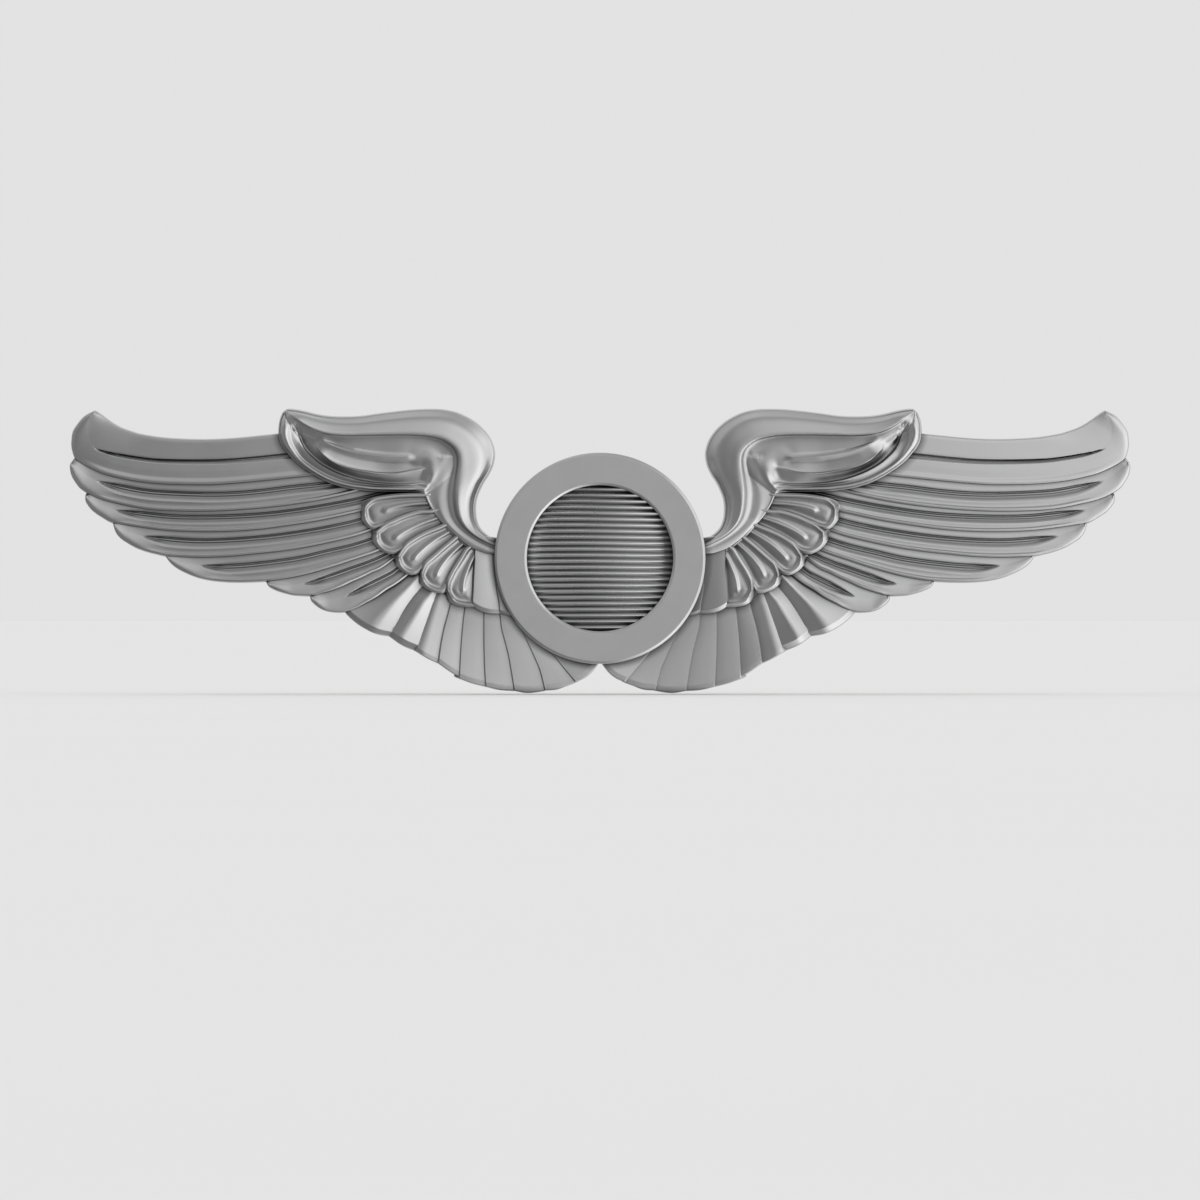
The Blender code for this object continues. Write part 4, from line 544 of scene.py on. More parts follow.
class Rail:
    """A smooth curve through design points, read by its share of the length."""

    def __init__(self, pts, fine=24):
        p = np.array([pts[0]] + list(pts) + [pts[-1]], float)
        p[0] = 2 * p[1] - p[2]
        p[-1] = 2 * p[-2] - p[-3]
        out = []
        u = np.arange(fine)[:, None] / fine
        for i in range(1, len(p) - 2):
            out.append(
                0.5
                * (
                    2 * p[i]
                    + (p[i + 1] - p[i - 1]) * u
                    + (2 * p[i - 1] - 5 * p[i] + 4 * p[i + 1] - p[i + 2]) * u * u
                    + (3 * p[i] - p[i - 1] - 3 * p[i + 1] + p[i + 2]) * u**3
                )
            )
        out.append(p[-2:-1])
        self.xy = np.vstack(out)
        d = np.hypot(*np.diff(self.xy, axis=0).T)
        self.s = np.concatenate([[0], np.cumsum(d)])
        self.length = self.s[-1]

    def at(self, t):
        s = np.clip(t, 0, 1) * self.length
        return np.array([np.interp(s, self.s, self.xy[:, 0]), np.interp(s, self.s, self.xy[:, 1])])

    def cross(self, a, b):
        d = b - a
        p, q = self.xy[:-1], self.xy[1:]
        e = q - p
        den = d[0] * e[:, 1] - d[1] * e[:, 0]
        den = np.where(abs(den) < 1e-12, 1e-12, den)
        w = p - a
        u = (w[:, 0] * e[:, 1] - w[:, 1] * e[:, 0]) / den
        v = (w[:, 0] * d[1] - w[:, 1] * d[0]) / den
        ok = np.where((u >= 0) & (u <= 1) & (v >= 0) & (v <= 1))[0]
        if not len(ok):
            return None
        i = ok[0]
        return float(u[i]), float((self.s[i] + v[i] * (self.s[i + 1] - self.s[i])) / self.length)

    def distance(self, x, z):
        """Distance from each point to the curve, mm."""
        shape = np.shape(x)
        pts = np.stack([np.ravel(x), np.ravel(z)], 1)
        a, b = self.xy[:-1], self.xy[1:]
        ab = b - a
        l2 = np.maximum((ab**2).sum(1), 1e-12)
        out = np.empty(len(pts))
        for i in range(0, len(pts), 4000):
            q = pts[i : i + 4000, None, :] - a[None]
            t = np.clip((q * ab[None]).sum(2) / l2, 0, 1)
            out[i : i + 4000] = np.sqrt(((q - t[..., None] * ab[None]) ** 2).sum(2).min(1))
        return out.reshape(shape)


def curve1d(knots):
    """A smooth function through (x, y) knots that doesn't overshoot them."""
    xs = np.array([k[0] for k in knots], float)
    ys = np.array([k[1] for k in knots], float)
    h = np.diff(xs)
    d = np.diff(ys) / h
    m = np.zeros(len(xs))
    for i in range(1, len(xs) - 1):
        if d[i - 1] * d[i] > 0:
            w1, w2 = 2 * h[i] + h[i - 1], h[i] + 2 * h[i - 1]
            m[i] = (w1 + w2) / (w1 / d[i - 1] + w2 / d[i])
    m[0], m[-1] = d[0], d[-1]

    def f(x):
        x = np.clip(x, xs[0], xs[-1])
        i = np.clip(np.searchsorted(xs, x, side="right") - 1, 0, len(h) - 1)
        t = (x - xs[i]) / h[i]
        return (
            ys[i] * (1 + 2 * t) * (1 - t) ** 2
            + m[i] * h[i] * t * (1 - t) ** 2
            + ys[i + 1] * t * t * (3 - 2 * t)
            + m[i + 1] * h[i] * t * t * (t - 1)
        )

    return f


def ground(x):
    """General height of the feathers' surface: fullest at the root and falling away to the wing tip."""
    return 1.95 - 1.15 * np.clip((-x - 13.0) / 25.0, 0, 2) ** 2


# ---------------------------------------------------------------- lofted blanks

WORK = bpy.data.collections.new("work")
bpy.context.scene.collection.children.link(WORK)


def solid_from_grid(name, X, Z, H, back, edge=0.05, draft=0.10, steps=4, skirt=None, skirt_drop=0.5):
    """Closes a surface grid (mm) into a block: a rounded edge, drafted walls and a flat back.

    skirt is the run of the sloped wall just under the edge, for each point of the grid."""
    n, m = X.shape
    rim = (
        [(0, j) for j in range(m)]
        + [(i, m - 1) for i in range(1, n)]
        + [(n - 1, j) for j in range(m - 2, -1, -1)]
        + [(i, 0) for i in range(n - 2, 0, -1)]
    )
    ri = np.array([a for a, _ in rim])
    rj = np.array([b for _, b in rim])
    px, pz, ph = X[ri, rj], Z[ri, rj], H[ri, rj]
    run = np.full(len(rim), 0.02) if skirt is None else np.maximum(skirt[ri, rj], 0.02)
    k = len(rim)
    area = 0.5 * np.sum(px * np.roll(pz, -1) - np.roll(px, -1) * pz)
    sign = 1.0 if area > 0 else -1.0
    tx, tz = np.roll(px, -1) - np.roll(px, 1), np.roll(pz, -1) - np.roll(pz, 1)
    nx, nz = tz * sign, -tx * sign
    ln = np.maximum(np.hypot(nx, nz), 1e-9)
    nx, nz = nx / ln, nz / ln
    for _ in range(3):
        nx = (np.roll(nx, 1) + 2 * nx + np.roll(nx, -1)) / 4
        nz = (np.roll(nz, 1) + 2 * nz + np.roll(nz, -1)) / 4
    verts = [np.stack([X.ravel(), -H.ravel(), Z.ravel()], 1)]
    rings = []
    for q in range(1, steps + 1):
        ang = math.pi / 2 * 0.8 * q / steps
        rings.append((edge * math.sin(ang), edge * (1 - math.cos(ang))))
    e0, d0 = rings[-1]
    drop = np.minimum(skirt_drop, 0.6 * (ph + back)) if skirt is not None else np.full(k, 0.1)
    outlines = [(off, ph - dr) for off, dr in rings]
    for f in (0.33, 0.66, 1.0):
        outlines.append((e0 + run * f, ph - d0 - drop * (0.8 * f + 0.2 * f * f)))
    h1 = ph - d0 - drop
    for f in (0.5, 1.0):
        outlines.append((e0 + run + draft * f, h1 * (1 - f) - back * f))
    for off, hh in outlines:
        verts.append(np.stack([px + nx * off, -hh, pz + nz * off], 1))
    V = np.vstack(verts) * MM
    faces = []
    idx = np.arange(n * m).reshape(n, m)
    quads = np.stack([idx[:-1, :-1], idx[:-1, 1:], idx[1:, 1:], idx[1:, :-1]], -1).reshape(-1, 4)
    faces.extend(quads.tolist())
    prev = (ri * m + rj).tolist()
    start = n * m
    for _ in outlines:
        cur = list(range(start, start + k))
        for e in range(k):
            f = (e + 1) % k
            faces.append((prev[e], prev[f], cur[f], cur[e]))
        prev = cur
        start += k
    faces.append(tuple(prev))
    mesh = bpy.data.meshes.new(name)
    mesh.from_pydata(V.tolist(), [], faces)
    bm = bmesh.new()
    bm.from_mesh(mesh)
    bmesh.ops.recalc_face_normals(bm, faces=bm.faces)
    if bm.calc_volume(signed=True) < 0:
        bmesh.ops.reverse_faces(bm, faces=bm.faces)
    bm.to_mesh(mesh)
    bm.free()
    ob = bpy.data.objects.new(name, mesh)
    WORK.objects.link(ob)
    return ob


DENSE = 1.0


def count(n):
    return max(8, int(n * DENSE))


# across a primary, by share of its width: eased edges and a low rim along the lower side
PRIMARY = curve1d([(0.0, -0.06), (0.05, -0.02), (0.12, 0.0), (0.70, 0.0), (0.82, -0.045), (0.89, -0.05), (0.945, 0.015), (0.97, 0.02), (1.0, -0.01)])
LEADING = curve1d([(0.0, -0.01), (0.05, 0.0), (0.68, 0.0), (0.86, -0.01), (0.95, 0.03), (0.975, 0.035), (1.0, 0.02)])
# the quill between its two grooves, by distance across it in mm
QUILL = curve1d(
    [
        (-0.38, 0.0),
        (-0.26, -0.02),
        (-0.16, -0.12),
        (-0.12, -0.125),
        (-0.035, 0.0),
        (0.0, 0.018),
        (0.035, 0.0),
        (0.11, -0.12),
        (0.17, -0.115),
        (0.38, -0.03),
        (0.52, 0.0),
    ]
)
FINE_QUILL = curve1d(
    [(-0.30, 0.0), (-0.14, -0.01), (-0.075, -0.11), (-0.05, -0.11), (0.0, 0.0), (0.03, 0.0), (0.085, -0.09), (0.115, -0.085), (0.30, 0.0)]
)


def primary(k, spec, back):
    up, lo, quill = Rail(spec["upper"]), Rail(spec["lower"]), Rail(spec["quill"])
    nt = count(120)
    u = np.linspace(0, 1, nt)
    ts = (1 - (1 - u) ** 1.7) * 0.9985
    a = up.at(ts).T
    b = lo.at(ts).T
    sq, vv = np.full(nt, np.nan), np.full(nt, np.nan)
    for i in range(nt):
        c = quill.cross(a[i], b[i])
        if c:
            sq[i], vv[i] = c
    ok = ~np.isnan(sq)
    good = np.where(ok)[0]
    sq = np.interp(np.arange(nt), good, sq[good])
    vv = np.interp(np.arange(nt), good, vv[good])
    after = np.arange(nt) > good[-1]
    for _ in range(6):
        sq[1:-1] = (sq[:-2] + 2 * sq[1:-1] + sq[2:]) / 4
    rest = (1 - vv) * quill.length
    rest[after] = 0.0
    # the grooves narrow and shallow to a point at the quill's end
    slim = np.clip(rest / 2.0, 0.0, 1.0) ** 0.6 + 0.02
    amp = np.clip(rest / 1.1, 0.0, 1.0) ** 0.7
    ws = np.unique(
        np.concatenate(
            [
                np.linspace(0, 1, count(22)),
                np.linspace(0.24, 0.72, count(48)),
                np.linspace(0.86, 1, count(10)),
                np.linspace(0, 0.12, 5),
            ]
        )
    )
    W, A = np.meshgrid(ws, amp)
    SQ = np.repeat(sq[:, None], len(ws), 1)
    S = np.where(W <= 0.45, SQ * W / 0.45, SQ + (1 - SQ) * (W - 0.45) / 0.55)
    X = a[:, 0:1] * (1 - S) + b[:, 0:1] * S
    Z = a[:, 1:2] * (1 - S) + b[:, 1:2] * S
    prof = (LEADING if k == 0 else PRIMARY)(W)
    across = np.hypot(*(b - a).T)[:, None]
    off = (S - SQ) * across / slim[:, None]
    groove = (FINE_QUILL if k == 0 else QUILL)(off) * A
    broad = np.repeat(smooth(rest / 3.0)[:, None], len(ws), 1)
    pillow = -0.05 * (2 * W - 1) ** 2 + 0.02
    prof = prof * broad + pillow * (1 - broad) + groove
    T = np.repeat(ts[:, None], len(ws), 1)
    H = ground(X) + ((0.02 + 0.06 * W) if k == 0 else (-0.12 + 0.22 * W)) + prof
    # each tip swells a little and rolls down at its end
    d = lo.distance(X, Z)
    endish = smooth((T - 0.80) / 0.12)
    roll = np.clip(1 - d / 0.55, 0, 1) ** 2
    H = H + endish * (0.05 * np.clip(1 - d / 1.1, 0, 1) ** 1.5 - 0.05 * roll**2)
    return solid_from_grid("primary_%d" % (k + 1), X, Z, H, back, edge=0.08, draft=0.06)


def across_to_tip(lo, hi, tip, ts, ss):
    """Grid between two side rails whose last row lies on the tip curve."""
    a, b = lo.at(ts).T, hi.at(ts).T
    S, T = np.meshgrid(ss, ts)
    X = a[:, 0:1] * (1 - S) + b[:, 0:1] * S
    Z = a[:, 1:2] * (1 - S) + b[:, 1:2] * S
    end_a, end_b = lo.at(1.0), hi.at(1.0)
    e = tip.at(ss).T
    dx = e[:, 0] - (end_a[0] * (1 - ss) + end_b[0] * ss)
    dz = e[:, 1] - (end_a[1] * (1 - ss) + end_b[1] * ss)
    g = np.clip((T - 0.5) / 0.5, 0, 1) ** 2
    return X + dx * g, Z + dz * g, S, T


def with_free_edge(X, Z, H, width, drop, rows=5):
    """Adds columns outside the first one that run down in a hollow slope: the wall of the free side."""
    dx, dz = X[:, 0] - X[:, 1], Z[:, 0] - Z[:, 1]
    ln = np.maximum(np.hypot(dx, dz), 1e-9)
    dx, dz = dx / ln, dz / ln
    xs, zs, hs = [], [], []
    for q in range(rows, 0, -1):
        f = q / rows
        xs.append(X[:, 0] + dx * width * f)
        zs.append(Z[:, 0] + dz * width * f)
        hs.append(H[:, 0] - drop * (0.9 * f + 0.1 * f * f))
    return (
        np.hstack([np.stack(xs, 1), X]),
        np.hstack([np.stack(zs, 1), Z]),
        np.hstack([np.stack(hs, 1), H]),
    )


def secondary(k, spec, back):
    lo, hi, tip = Rail(spec["outer"]), Rail(spec["inner"]), Rail(spec["tip"])
    length = 0.5 * (lo.length + hi.length)
    ch = spec["chamfer"]
    t_ch = 1 - ch / length
    ts = np.concatenate([np.linspace(0, t_ch - 0.02, count(26)), np.linspace(t_ch - 0.012, t_ch + 0.008, 5), np.linspace(t_ch + 0.016, 1, 6)])
    ss = np.unique(np.concatenate([np.linspace(0, 1, count(26)), np.linspace(0, 0.12, 6)]))
    X, Z, S, T = across_to_tip(lo, hi, tip, ts, ss)
    if "ridge" in spec:
        ridge = Rail(spec["ridge"])
        a, b, r = lo.at(ts).T, hi.at(ts).T, ridge.at(ts).T
        da, db = np.hypot(*(a - r).T), np.hypot(*(b - r).T)
        sr = (da / np.maximum(da + db, 1e-9))[:, None]
        left = -0.08 if k else -0.14
        up = np.where(S < sr, left + (0.22 - left) * (S / sr), 0.22 - 0.25 * ((S - sr) / (1 - sr)))
        # soften the ridge line a touch
        prof = up - 0.03 * np.exp(-(((S - sr) / 0.05) ** 2))
    else:
        prof = curve1d([(0.0, 0.17), (0.10, 0.165), (0.45, 0.07), (0.8, -0.13), (1.0, -0.27)])(S)
        if k == 2:
            prof = curve1d([(0.0, 0.02), (0.16, 0.15), (0.24, 0.17), (0.5, 0.05), (1.0, -0.29)])(S)
        prof = prof * (1.0, 1.0, 0.30, 0.18, 0.15, 0.13, 0.12, 0.11, 0.10)[min(k, 8)] * (0.65 + 0.35 * T)
    wide = np.hypot(X[:, -1] - X[:, 0], Z[:, -1] - Z[:, 0])[:, None]
    end = smooth((T - t_ch) / max(1e-6, 1 - t_ch) + 0.04)
    linear = np.clip((T - t_ch) / (1 - t_ch), 0, 1)
    H = ground(X) + prof + 0.060 * max(0, k - 2) - (0.26 if k < 2 else 0.03) * linear + 0.30 * np.clip(T - 0.35, 0, 1) ** 1.6
    if "ridge" not in spec or k == 1:
        X, Z, H = with_free_edge(X, Z, H, 0.40, 0.46 if "ridge" not in spec else 0.3)
    return solid_from_grid("secondary_%d" % (k + 1), X, Z, H, back, edge=0.04, draft=0.05)


def covert(k, spec, back):
    a_rail, b_rail = Rail(spec["outer"]), Rail(spec["inner"])
    rise = (0.40, 0.40, 0.42, 0.46, 0.52, 0.57, 0.60)[min(k, 6)]
    if "tip" in spec:
        tip = Rail(spec["tip"])
        length = 0.5 * (a_rail.length + b_rail.length)
        t_ch = 1 - spec["chamfer"] / length
        ts = np.concatenate([np.linspace(0, t_ch - 0.02, count(20)), np.linspace(t_ch - 0.01, t_ch + 0.01, 4), np.linspace(t_ch + 0.02, 1, 5)])
        ss = np.linspace(0, 1, count(18))
        X, Z, S, T = across_to_tip(a_rail, b_rail, tip, ts, ss)
        linear = np.clip((T - t_ch) / (1 - t_ch), 0, 1)
        H = ground(X) + rise + 0.12 - 0.16 * S**1.4 - 0.16 * linear
        X, Z, H = with_free_edge(X, Z, H, 0.20, 0.34)
        return solid_from_grid("covert_%d" % (k + 1), X, Z, H, back, edge=0.05, draft=0.05)
    nt = count(70)
    u = np.linspace(0, 1, nt)
    ts = (1 - (1 - u) ** 1.6) * 0.998
    ss = np.unique(np.concatenate([np.linspace(0, 1, count(44)), np.linspace(0, 0.2, 8), np.linspace(0.8, 1, 8)]))
    a, b = a_rail.at(ts).T, b_rail.at(ts).T
    S, T = np.meshgrid(ss, ts)
    X = a[:, 0:1] * (1 - S) + b[:, 0:1] * S
    Z = a[:, 1:2] * (1 - S) + b[:, 1:2] * S
    outline = Rail(list(spec["outer"]) + list(spec["inner"][::-1])[1:])
    d = outline.distance(X, Z)
    d_rib = Rail(spec["rib"]).distance(X, Z)
    wide = np.hypot(*(b - a).T)[:, None]
    tipward = smooth((T - 0.74) / 0.22)
    side = smooth((1.12 - S) / 0.85)
    point = smooth((T - 0.90) / 0.08)
    d2 = d - 0.52 * tipward * (side * (1 - point) + 0.9 * point)
    rim = curve1d([(0.0, 0.02), (0.07, 0.09), (0.14, 0.11), (0.22, 0.06), (0.36, -0.07), (0.50, -0.09), (0.9, -0.06), (3.0, -0.05)])(d2)
    rim = np.where(d2 < 0, 0.02 + 1.05 * d2, rim)
    rib = 0.11 * np.exp(-((d_rib / 0.15) ** 2)) * smooth((0.90 - T) / 0.08)
    pit = -0.10 * np.exp(-((Rail(spec["rib"]).at(1.0)[0] - X) ** 2 + (Rail(spec["rib"]).at(1.0)[1] - Z) ** 2) / 0.17**2)
    H = ground(X) + rise + rim + rib + pit + 0.12 - 0.20 * S - (0.62 if k < 2 else 0.42) * smooth((0.13 - T) / 0.13)
    return solid_from_grid("covert_%d" % (k + 1), X, Z, H, back, edge=0.05, draft=0.05)


FOLD_KEYS = ("crease", "leafU", "leafL", "pocket", "ridge2", "groove2", "rim")


def blend_at(p, table):
    """Reads a value from (position, value) pairs along the shoulder."""
    return float(np.interp(p, [t[0] for t in table], [t[1] for t in table]))


def shoulder(back):
    folds = {key: Rail(pts, fine=10) for key, pts in FOLDS.items()}
    outline_top, outline_bot = Rail(SHOULDER["top"]), Rail(SHOULDER["bot"])
    base = np.arange(len(SECTIONS), dtype=float)
    n = count(300)
    pos = np.linspace(0, len(SECTIONS) - 1, n)

    def along(rail, pts):
        out = []
        for p in pts:
            j = np.argmin(((rail.xy - p) ** 2).sum(1))
            out.append(rail.s[j] / rail.length)
        return np.interp(pos, base, np.maximum.accumulate(out))

    ta = along(outline_top, np.array([c[0] for c in SECTIONS]))
    tb = along(outline_bot, np.array([c[1] for c in SECTIONS]))
    for _ in range(12):
        ta[1:-1] = (ta[:-2] + 2 * ta[1:-1] + ta[2:]) / 4
        tb[1:-1] = (tb[:-2] + 2 * tb[1:-1] + tb[2:]) / 4
    A, B = outline_top.at(ta).T, outline_bot.at(tb).T
    span = np.hypot(*(B - A).T)
    cut = np.full((n, len(FOLD_KEYS)), np.nan)
    starts = []
    for c, key in enumerate(FOLD_KEYS):
        for i in range(n):
            hit = folds[key].cross(A[i], B[i])
            if hit:
                cut[i, c] = hit[0]
        ok = np.where(~np.isnan(cut[:, c]))[0]
        cut[:, c] = np.interp(np.arange(n), ok, cut[ok, c])
        starts.append(pos[ok[0]])
        for _ in range(10):
            cut[1:-1, c] = (cut[:-2, c] + 2 * cut[1:-1, c] + cut[2:, c]) / 4
    m = count(110)
    w = np.linspace(0, 1, m)
    X, Z, H = np.zeros((n, m)), np.zeros((n, m)), np.zeros((n, m))
    relief = np.zeros((n, m))
    for i in range(n):
        p, L = pos[i], span[i]
        room = min(1.0, L / 1.6)
        mmu = 1.0 / L  # share of the section per mm
        c = cut[i]
        wall = blend_at(p, [(0, 0.10), (9, 0.12), (11, 0.22), (12.5, 0.45), (14, 0.48), (17, 0.40), (20, 0.26), (22, 0.2)])
        drop = blend_at(p, [(0, 0.0), (1.5, 0.08), (4, 0.26), (8, 0.28), (11, 0.34), (13, 0.50), (18, 0.46), (20, 0.34), (22, 0.22)])
        high = 3.02
        plate_end = blend_at(p, [(0, 2.40), (9, 2.46), (12, 2.66), (22, 2.60)])
        # broad shape: brow, wall, plate
        k = [
            (0.0, 2.34),
            (c[0] * 0.06, 2.43),
            (c[0] * 0.24, 2.74),
            (c[0] * 0.40, 2.87),
            (c[0] * 0.66, 2.96),
            (c[0] * 0.93, high),
            (c[0], high - 0.01),
            (c[0] + wall * 0.8 * mmu, high - drop * 0.80),
            (c[0] + wall * 1.7 * mmu, high - drop),
        ]
        floor_h = high - drop
        neck = float(smooth((p - 11.0) / 2.0))
        k.append((max(c[0] + wall * 3.0 * mmu, 0.5 * (c[0] + 1.0)), floor_h - 0.04 + 0.06 * neck))
        k.append((1.0 - 0.10 * mmu, floor_h - 0.12 + 0.10 * neck))
        k.append((1.0, plate_end - 0.06 * (1 - neck) - 0.10 * neck))
        f0 = knots_curve(k)
        # folds over the plate, told as offsets from it
        lip = blend_at(p, [(0, 0.06), (2, 0.08), (3.5, 0.04), (6, 0.0), (12, -0.02)])
        leaf = float(smooth((p - starts[1]) / 0.9))
        deep = float(smooth((p - starts[4] + 0.1) / 0.7))
        pk = deep * blend_at(p, [(0, -0.52), (4, -0.50), (6, -0.40), (12, -0.30)])
        edge2 = blend_at(p, [(0, -0.10), (1.5, -0.17), (3.5, -0.11), (6.5, -0.08), (12, -0.10)])
        groove2 = blend_at(p, [(0, 0.0), (1.5, -0.02), (3, -0.10), (4.5, -0.19), (12, -0.22)])
        leaf_in = blend_at(p, [(0, 0.0), (4, 0.02), (5.5, -0.04), (7, -0.18), (8.5, -0.27), (12, -0.28)])
        low = max(c[4] - 0.16 * room * mmu, 0.5 * (c[2] + c[4]))
        k = [
            (c[0], 0.0),
            (c[1] - 0.16 * room * mmu, -0.10 * leaf - 0.05 * deep * (1 - leaf)),
            (c[1], 0.05 * leaf - 0.09 * deep * (1 - leaf)),
            (c[1] + 0.07 * room * mmu, 0.03 * leaf - 0.11 * deep * (1 - leaf)),
            (min(c[1] + 0.46 * room * mmu, 0.5 * (c[1] + c[2])), leaf * leaf_in - 0.16 * deep * (1 - leaf)),
            (c[2] - 0.12 * room * mmu, leaf * (leaf_in + 0.03) - 0.20 * deep * (1 - leaf)),
            (c[2], leaf * (0.06 + leaf_in * 0.40) - 0.24 * deep * (1 - leaf)),
            (c[2] + 0.13 * room * mmu, min(-0.02, 0.35 * pk) - 0.10 * deep * (1 - leaf)),
            (low, pk),
            (c[4] - 0.04 * room * mmu, pk * 0.72),
            (c[4], edge2),
            (c[5], groove2),
            (c[6], lip),
            (1.0, lip + blend_at(p, [(0, -0.06), (4, -0.08), (6.5, -0.10), (12, -0.10)])),
        ]
        f1 = knots_curve(k, low=c[0])
        knots = np.array([0.0, c[0] * 0.15, c[0] * 0.5] + sorted([x for x in (*c, c[0] + wall * mmu)]) + [1.0])
        knots = np.maximum.accumulate(np.clip(knots, 0, 1))
        dens = np.interp(w, np.linspace(0, 1, len(knots)), knots)
        s = 0.03 * w + 0.97 * dens
        X[i] = A[i, 0] * (1 - s) + B[i, 0] * s
        Z[i] = A[i, 1] * (1 - s) + B[i, 1] * s
        H[i] = f0(s)
        relief[i] = np.where(s > c[0], f1(s), 0.0)
    # ease the folds where the sections fan round the tip
    eased = relief.copy()
    for _ in range(count(16)):
        eased[1:-1] = (eased[:-2] + 2 * eased[1:-1] + eased[2:]) / 4
    fan = smooth((3.6 - pos) / 1.4)[:, None]
    relief = relief * (1 - fan) + eased * fan
    # the folds end against a hem at the wrist of the wing
    hem = folds["hem"]
    order = np.argsort(hem.xy[:, 1])
    hem_x = np.interp(Z, hem.xy[order, 1], hem.xy[order, 0])
    keep = smooth((hem_x + 0.12 - X) / 0.85)
    below = smooth((hem.xy[:, 1].max() - Z) / 0.10 + 0.5)
    window = np.where(X > -14.5, keep * below + (1 - below), 1.0)
    H = H + relief * window * (1 - 0.40 * smooth((X + 16.2) / 2.4))
    near = lambda key: folds[key].distance(X, Z)
    H = H + 0.035 * np.exp(-((near("loopA") / 0.18) ** 2)) * smooth((X + 13.2) / 0.8)
    H = H + 0.04 * np.exp(-((near("loopB") / 0.20) ** 2)) * smooth((X + 13.2) / 0.8)
    # a struck fold has no sharp corner where it dies out: ease the hem and the notch
    notch = np.hypot(X - folds["pocket"].xy[0, 0] - 0.10, Z - folds["pocket"].xy[0, 1] + 0.95)
    ease = np.maximum(smooth((0.95 - near("hem")) / 0.60), 0.70 * smooth((0.70 - notch) / 0.5))
    soft = H.copy()
    for _ in range(count(22)):
        soft[1:-1] = (soft[:-2] + 2 * soft[1:-1] + soft[2:]) / 4
        soft[:, 1:-1] = (soft[:, :-2] + 2 * soft[:, 1:-1] + soft[:, 2:]) / 4
    H = H * (1 - ease) + soft * ease
    rise = (0.45 + 0.55 * smooth(pos / 2.2))[:, None]
    H = 2.34 + (H - 2.34) * rise
    H[1:-1] = (H[:-2] + 2 * H[1:-1] + H[2:]) / 4
    return solid_from_grid("shoulder", X, Z, H, back, edge=0.10, draft=0.10, steps=6)


def knots_curve(k, low=0.0, gap=0.004):
    """A smooth curve through knots, pushed apart where they crowd."""
    xs = [min(max(x, low), 1.0) for x, _ in k]
    for i in range(1, len(xs)):
        xs[i] = max(xs[i], xs[i - 1] + gap)
    over = xs[-1] - 1.0
    if over > 0:
        xs[-1] = 1.0
        for i in range(len(xs) - 2, -1, -1):
            xs[i] = min(xs[i], xs[i + 1] - gap)
    return curve1d([(x, y) for x, (_, y) in zip(xs, k)])


def helper_box(name, lo, hi):
    bm = bmesh.new()
    bmesh.ops.create_cube(bm, size=1.0)
    for v in bm.verts:
        v.co = Vector([(lo[i] + (hi[i] - lo[i]) * (v.co[i] + 0.5)) * MM for i in range(3)])
    mesh = bpy.data.meshes.new(name)
    bm.to_mesh(mesh)
    bm.free()
    ob = bpy.data.objects.new(name, mesh)
    WORK.objects.link(ob)
    return ob


def helper_drum(name, radius, y0, y1, at=(0.0, 0.0), segments=256):
    bm = bmesh.new()
    bmesh.ops.create_cone(bm, cap_ends=True, segments=segments, radius1=radius * MM, radius2=radius * MM, depth=(y1 - y0) * MM)
    for v in bm.verts:
        x, y, z = v.co
        v.co = Vector((x + at[0] * MM, z + (y0 + y1) / 2 * MM, -y + at[1] * MM))
    mesh = bpy.data.meshes.new(name)
    bm.to_mesh(mesh)
    bm.free()
    ob = bpy.data.objects.new(name, mesh)
    WORK.objects.link(ob)
    return ob


def boolean(ob, operation, other=None, group=None, solver="EXACT"):
    mod = ob.modifiers.new(operation.lower(), "BOOLEAN")
    mod.operation = operation
    mod.solver = solver
    if group:
        mod.operand_type = "COLLECTION"
        mod.collection = group
    else:
        mod.object = other
    return mod


def settle(ob):
    bpy.context.view_layer.update()
    dg = bpy.context.evaluated_depsgraph_get()
    mesh = bpy.data.meshes.new_from_object(ob.evaluated_get(dg), depsgraph=dg)
    ob.modifiers.clear()
    ob.data = mesh
    return ob


SOLVER = "MANIFOLD"


def build_wing():
    feathers = bpy.data.collections.new("feathers")
    WORK.children.link(feathers)
    blanks = []
    for k, spec in enumerate(PRIMARIES):
        blanks.append(primary(k, spec, 0.30 + 0.02 * k))
    for k, spec in enumerate(SECONDARIES):
        blanks.append(secondary(k, spec, 0.47 + 0.02 * k))
    for k, spec in enumerate(COVERTS):
        blanks.append(covert(k, spec, 0.68 + 0.02 * k))
    body = shoulder(0.9)
    for ob in blanks:
        boolean(body, "UNION", ob, solver=SOLVER)
    boolean(body, "DIFFERENCE", helper_box("facing_cut", (-60, 0.0, -30), (60, 5.0, 30)), solver=SOLVER)
    boolean(body, "DIFFERENCE", helper_drum("ring_cut", RING_R_OUT + 0.02, -8.0, 2.0), solver=SOLVER)
    settle(body)
    return body


def biggest_body(bm):
    seen, groups = set(), []
    for f in bm.faces:
        if f in seen:
            continue
        stack, group = [f], []
        seen.add(f)
        while stack:
            g = stack.pop()
            group.append(g)
            for e in g.edges:
                for h in e.link_faces:
                    if h not in seen:
                        seen.add(h)
                        stack.append(h)
        groups.append(group)
    groups.sort(key=len)
    for group in groups[:-1]:
        bmesh.ops.delete(bm, geom=group, context="FACES")
    bmesh.ops.delete(bm, geom=[v for v in bm.verts if not v.link_faces], context="VERTS")
    return len(groups)


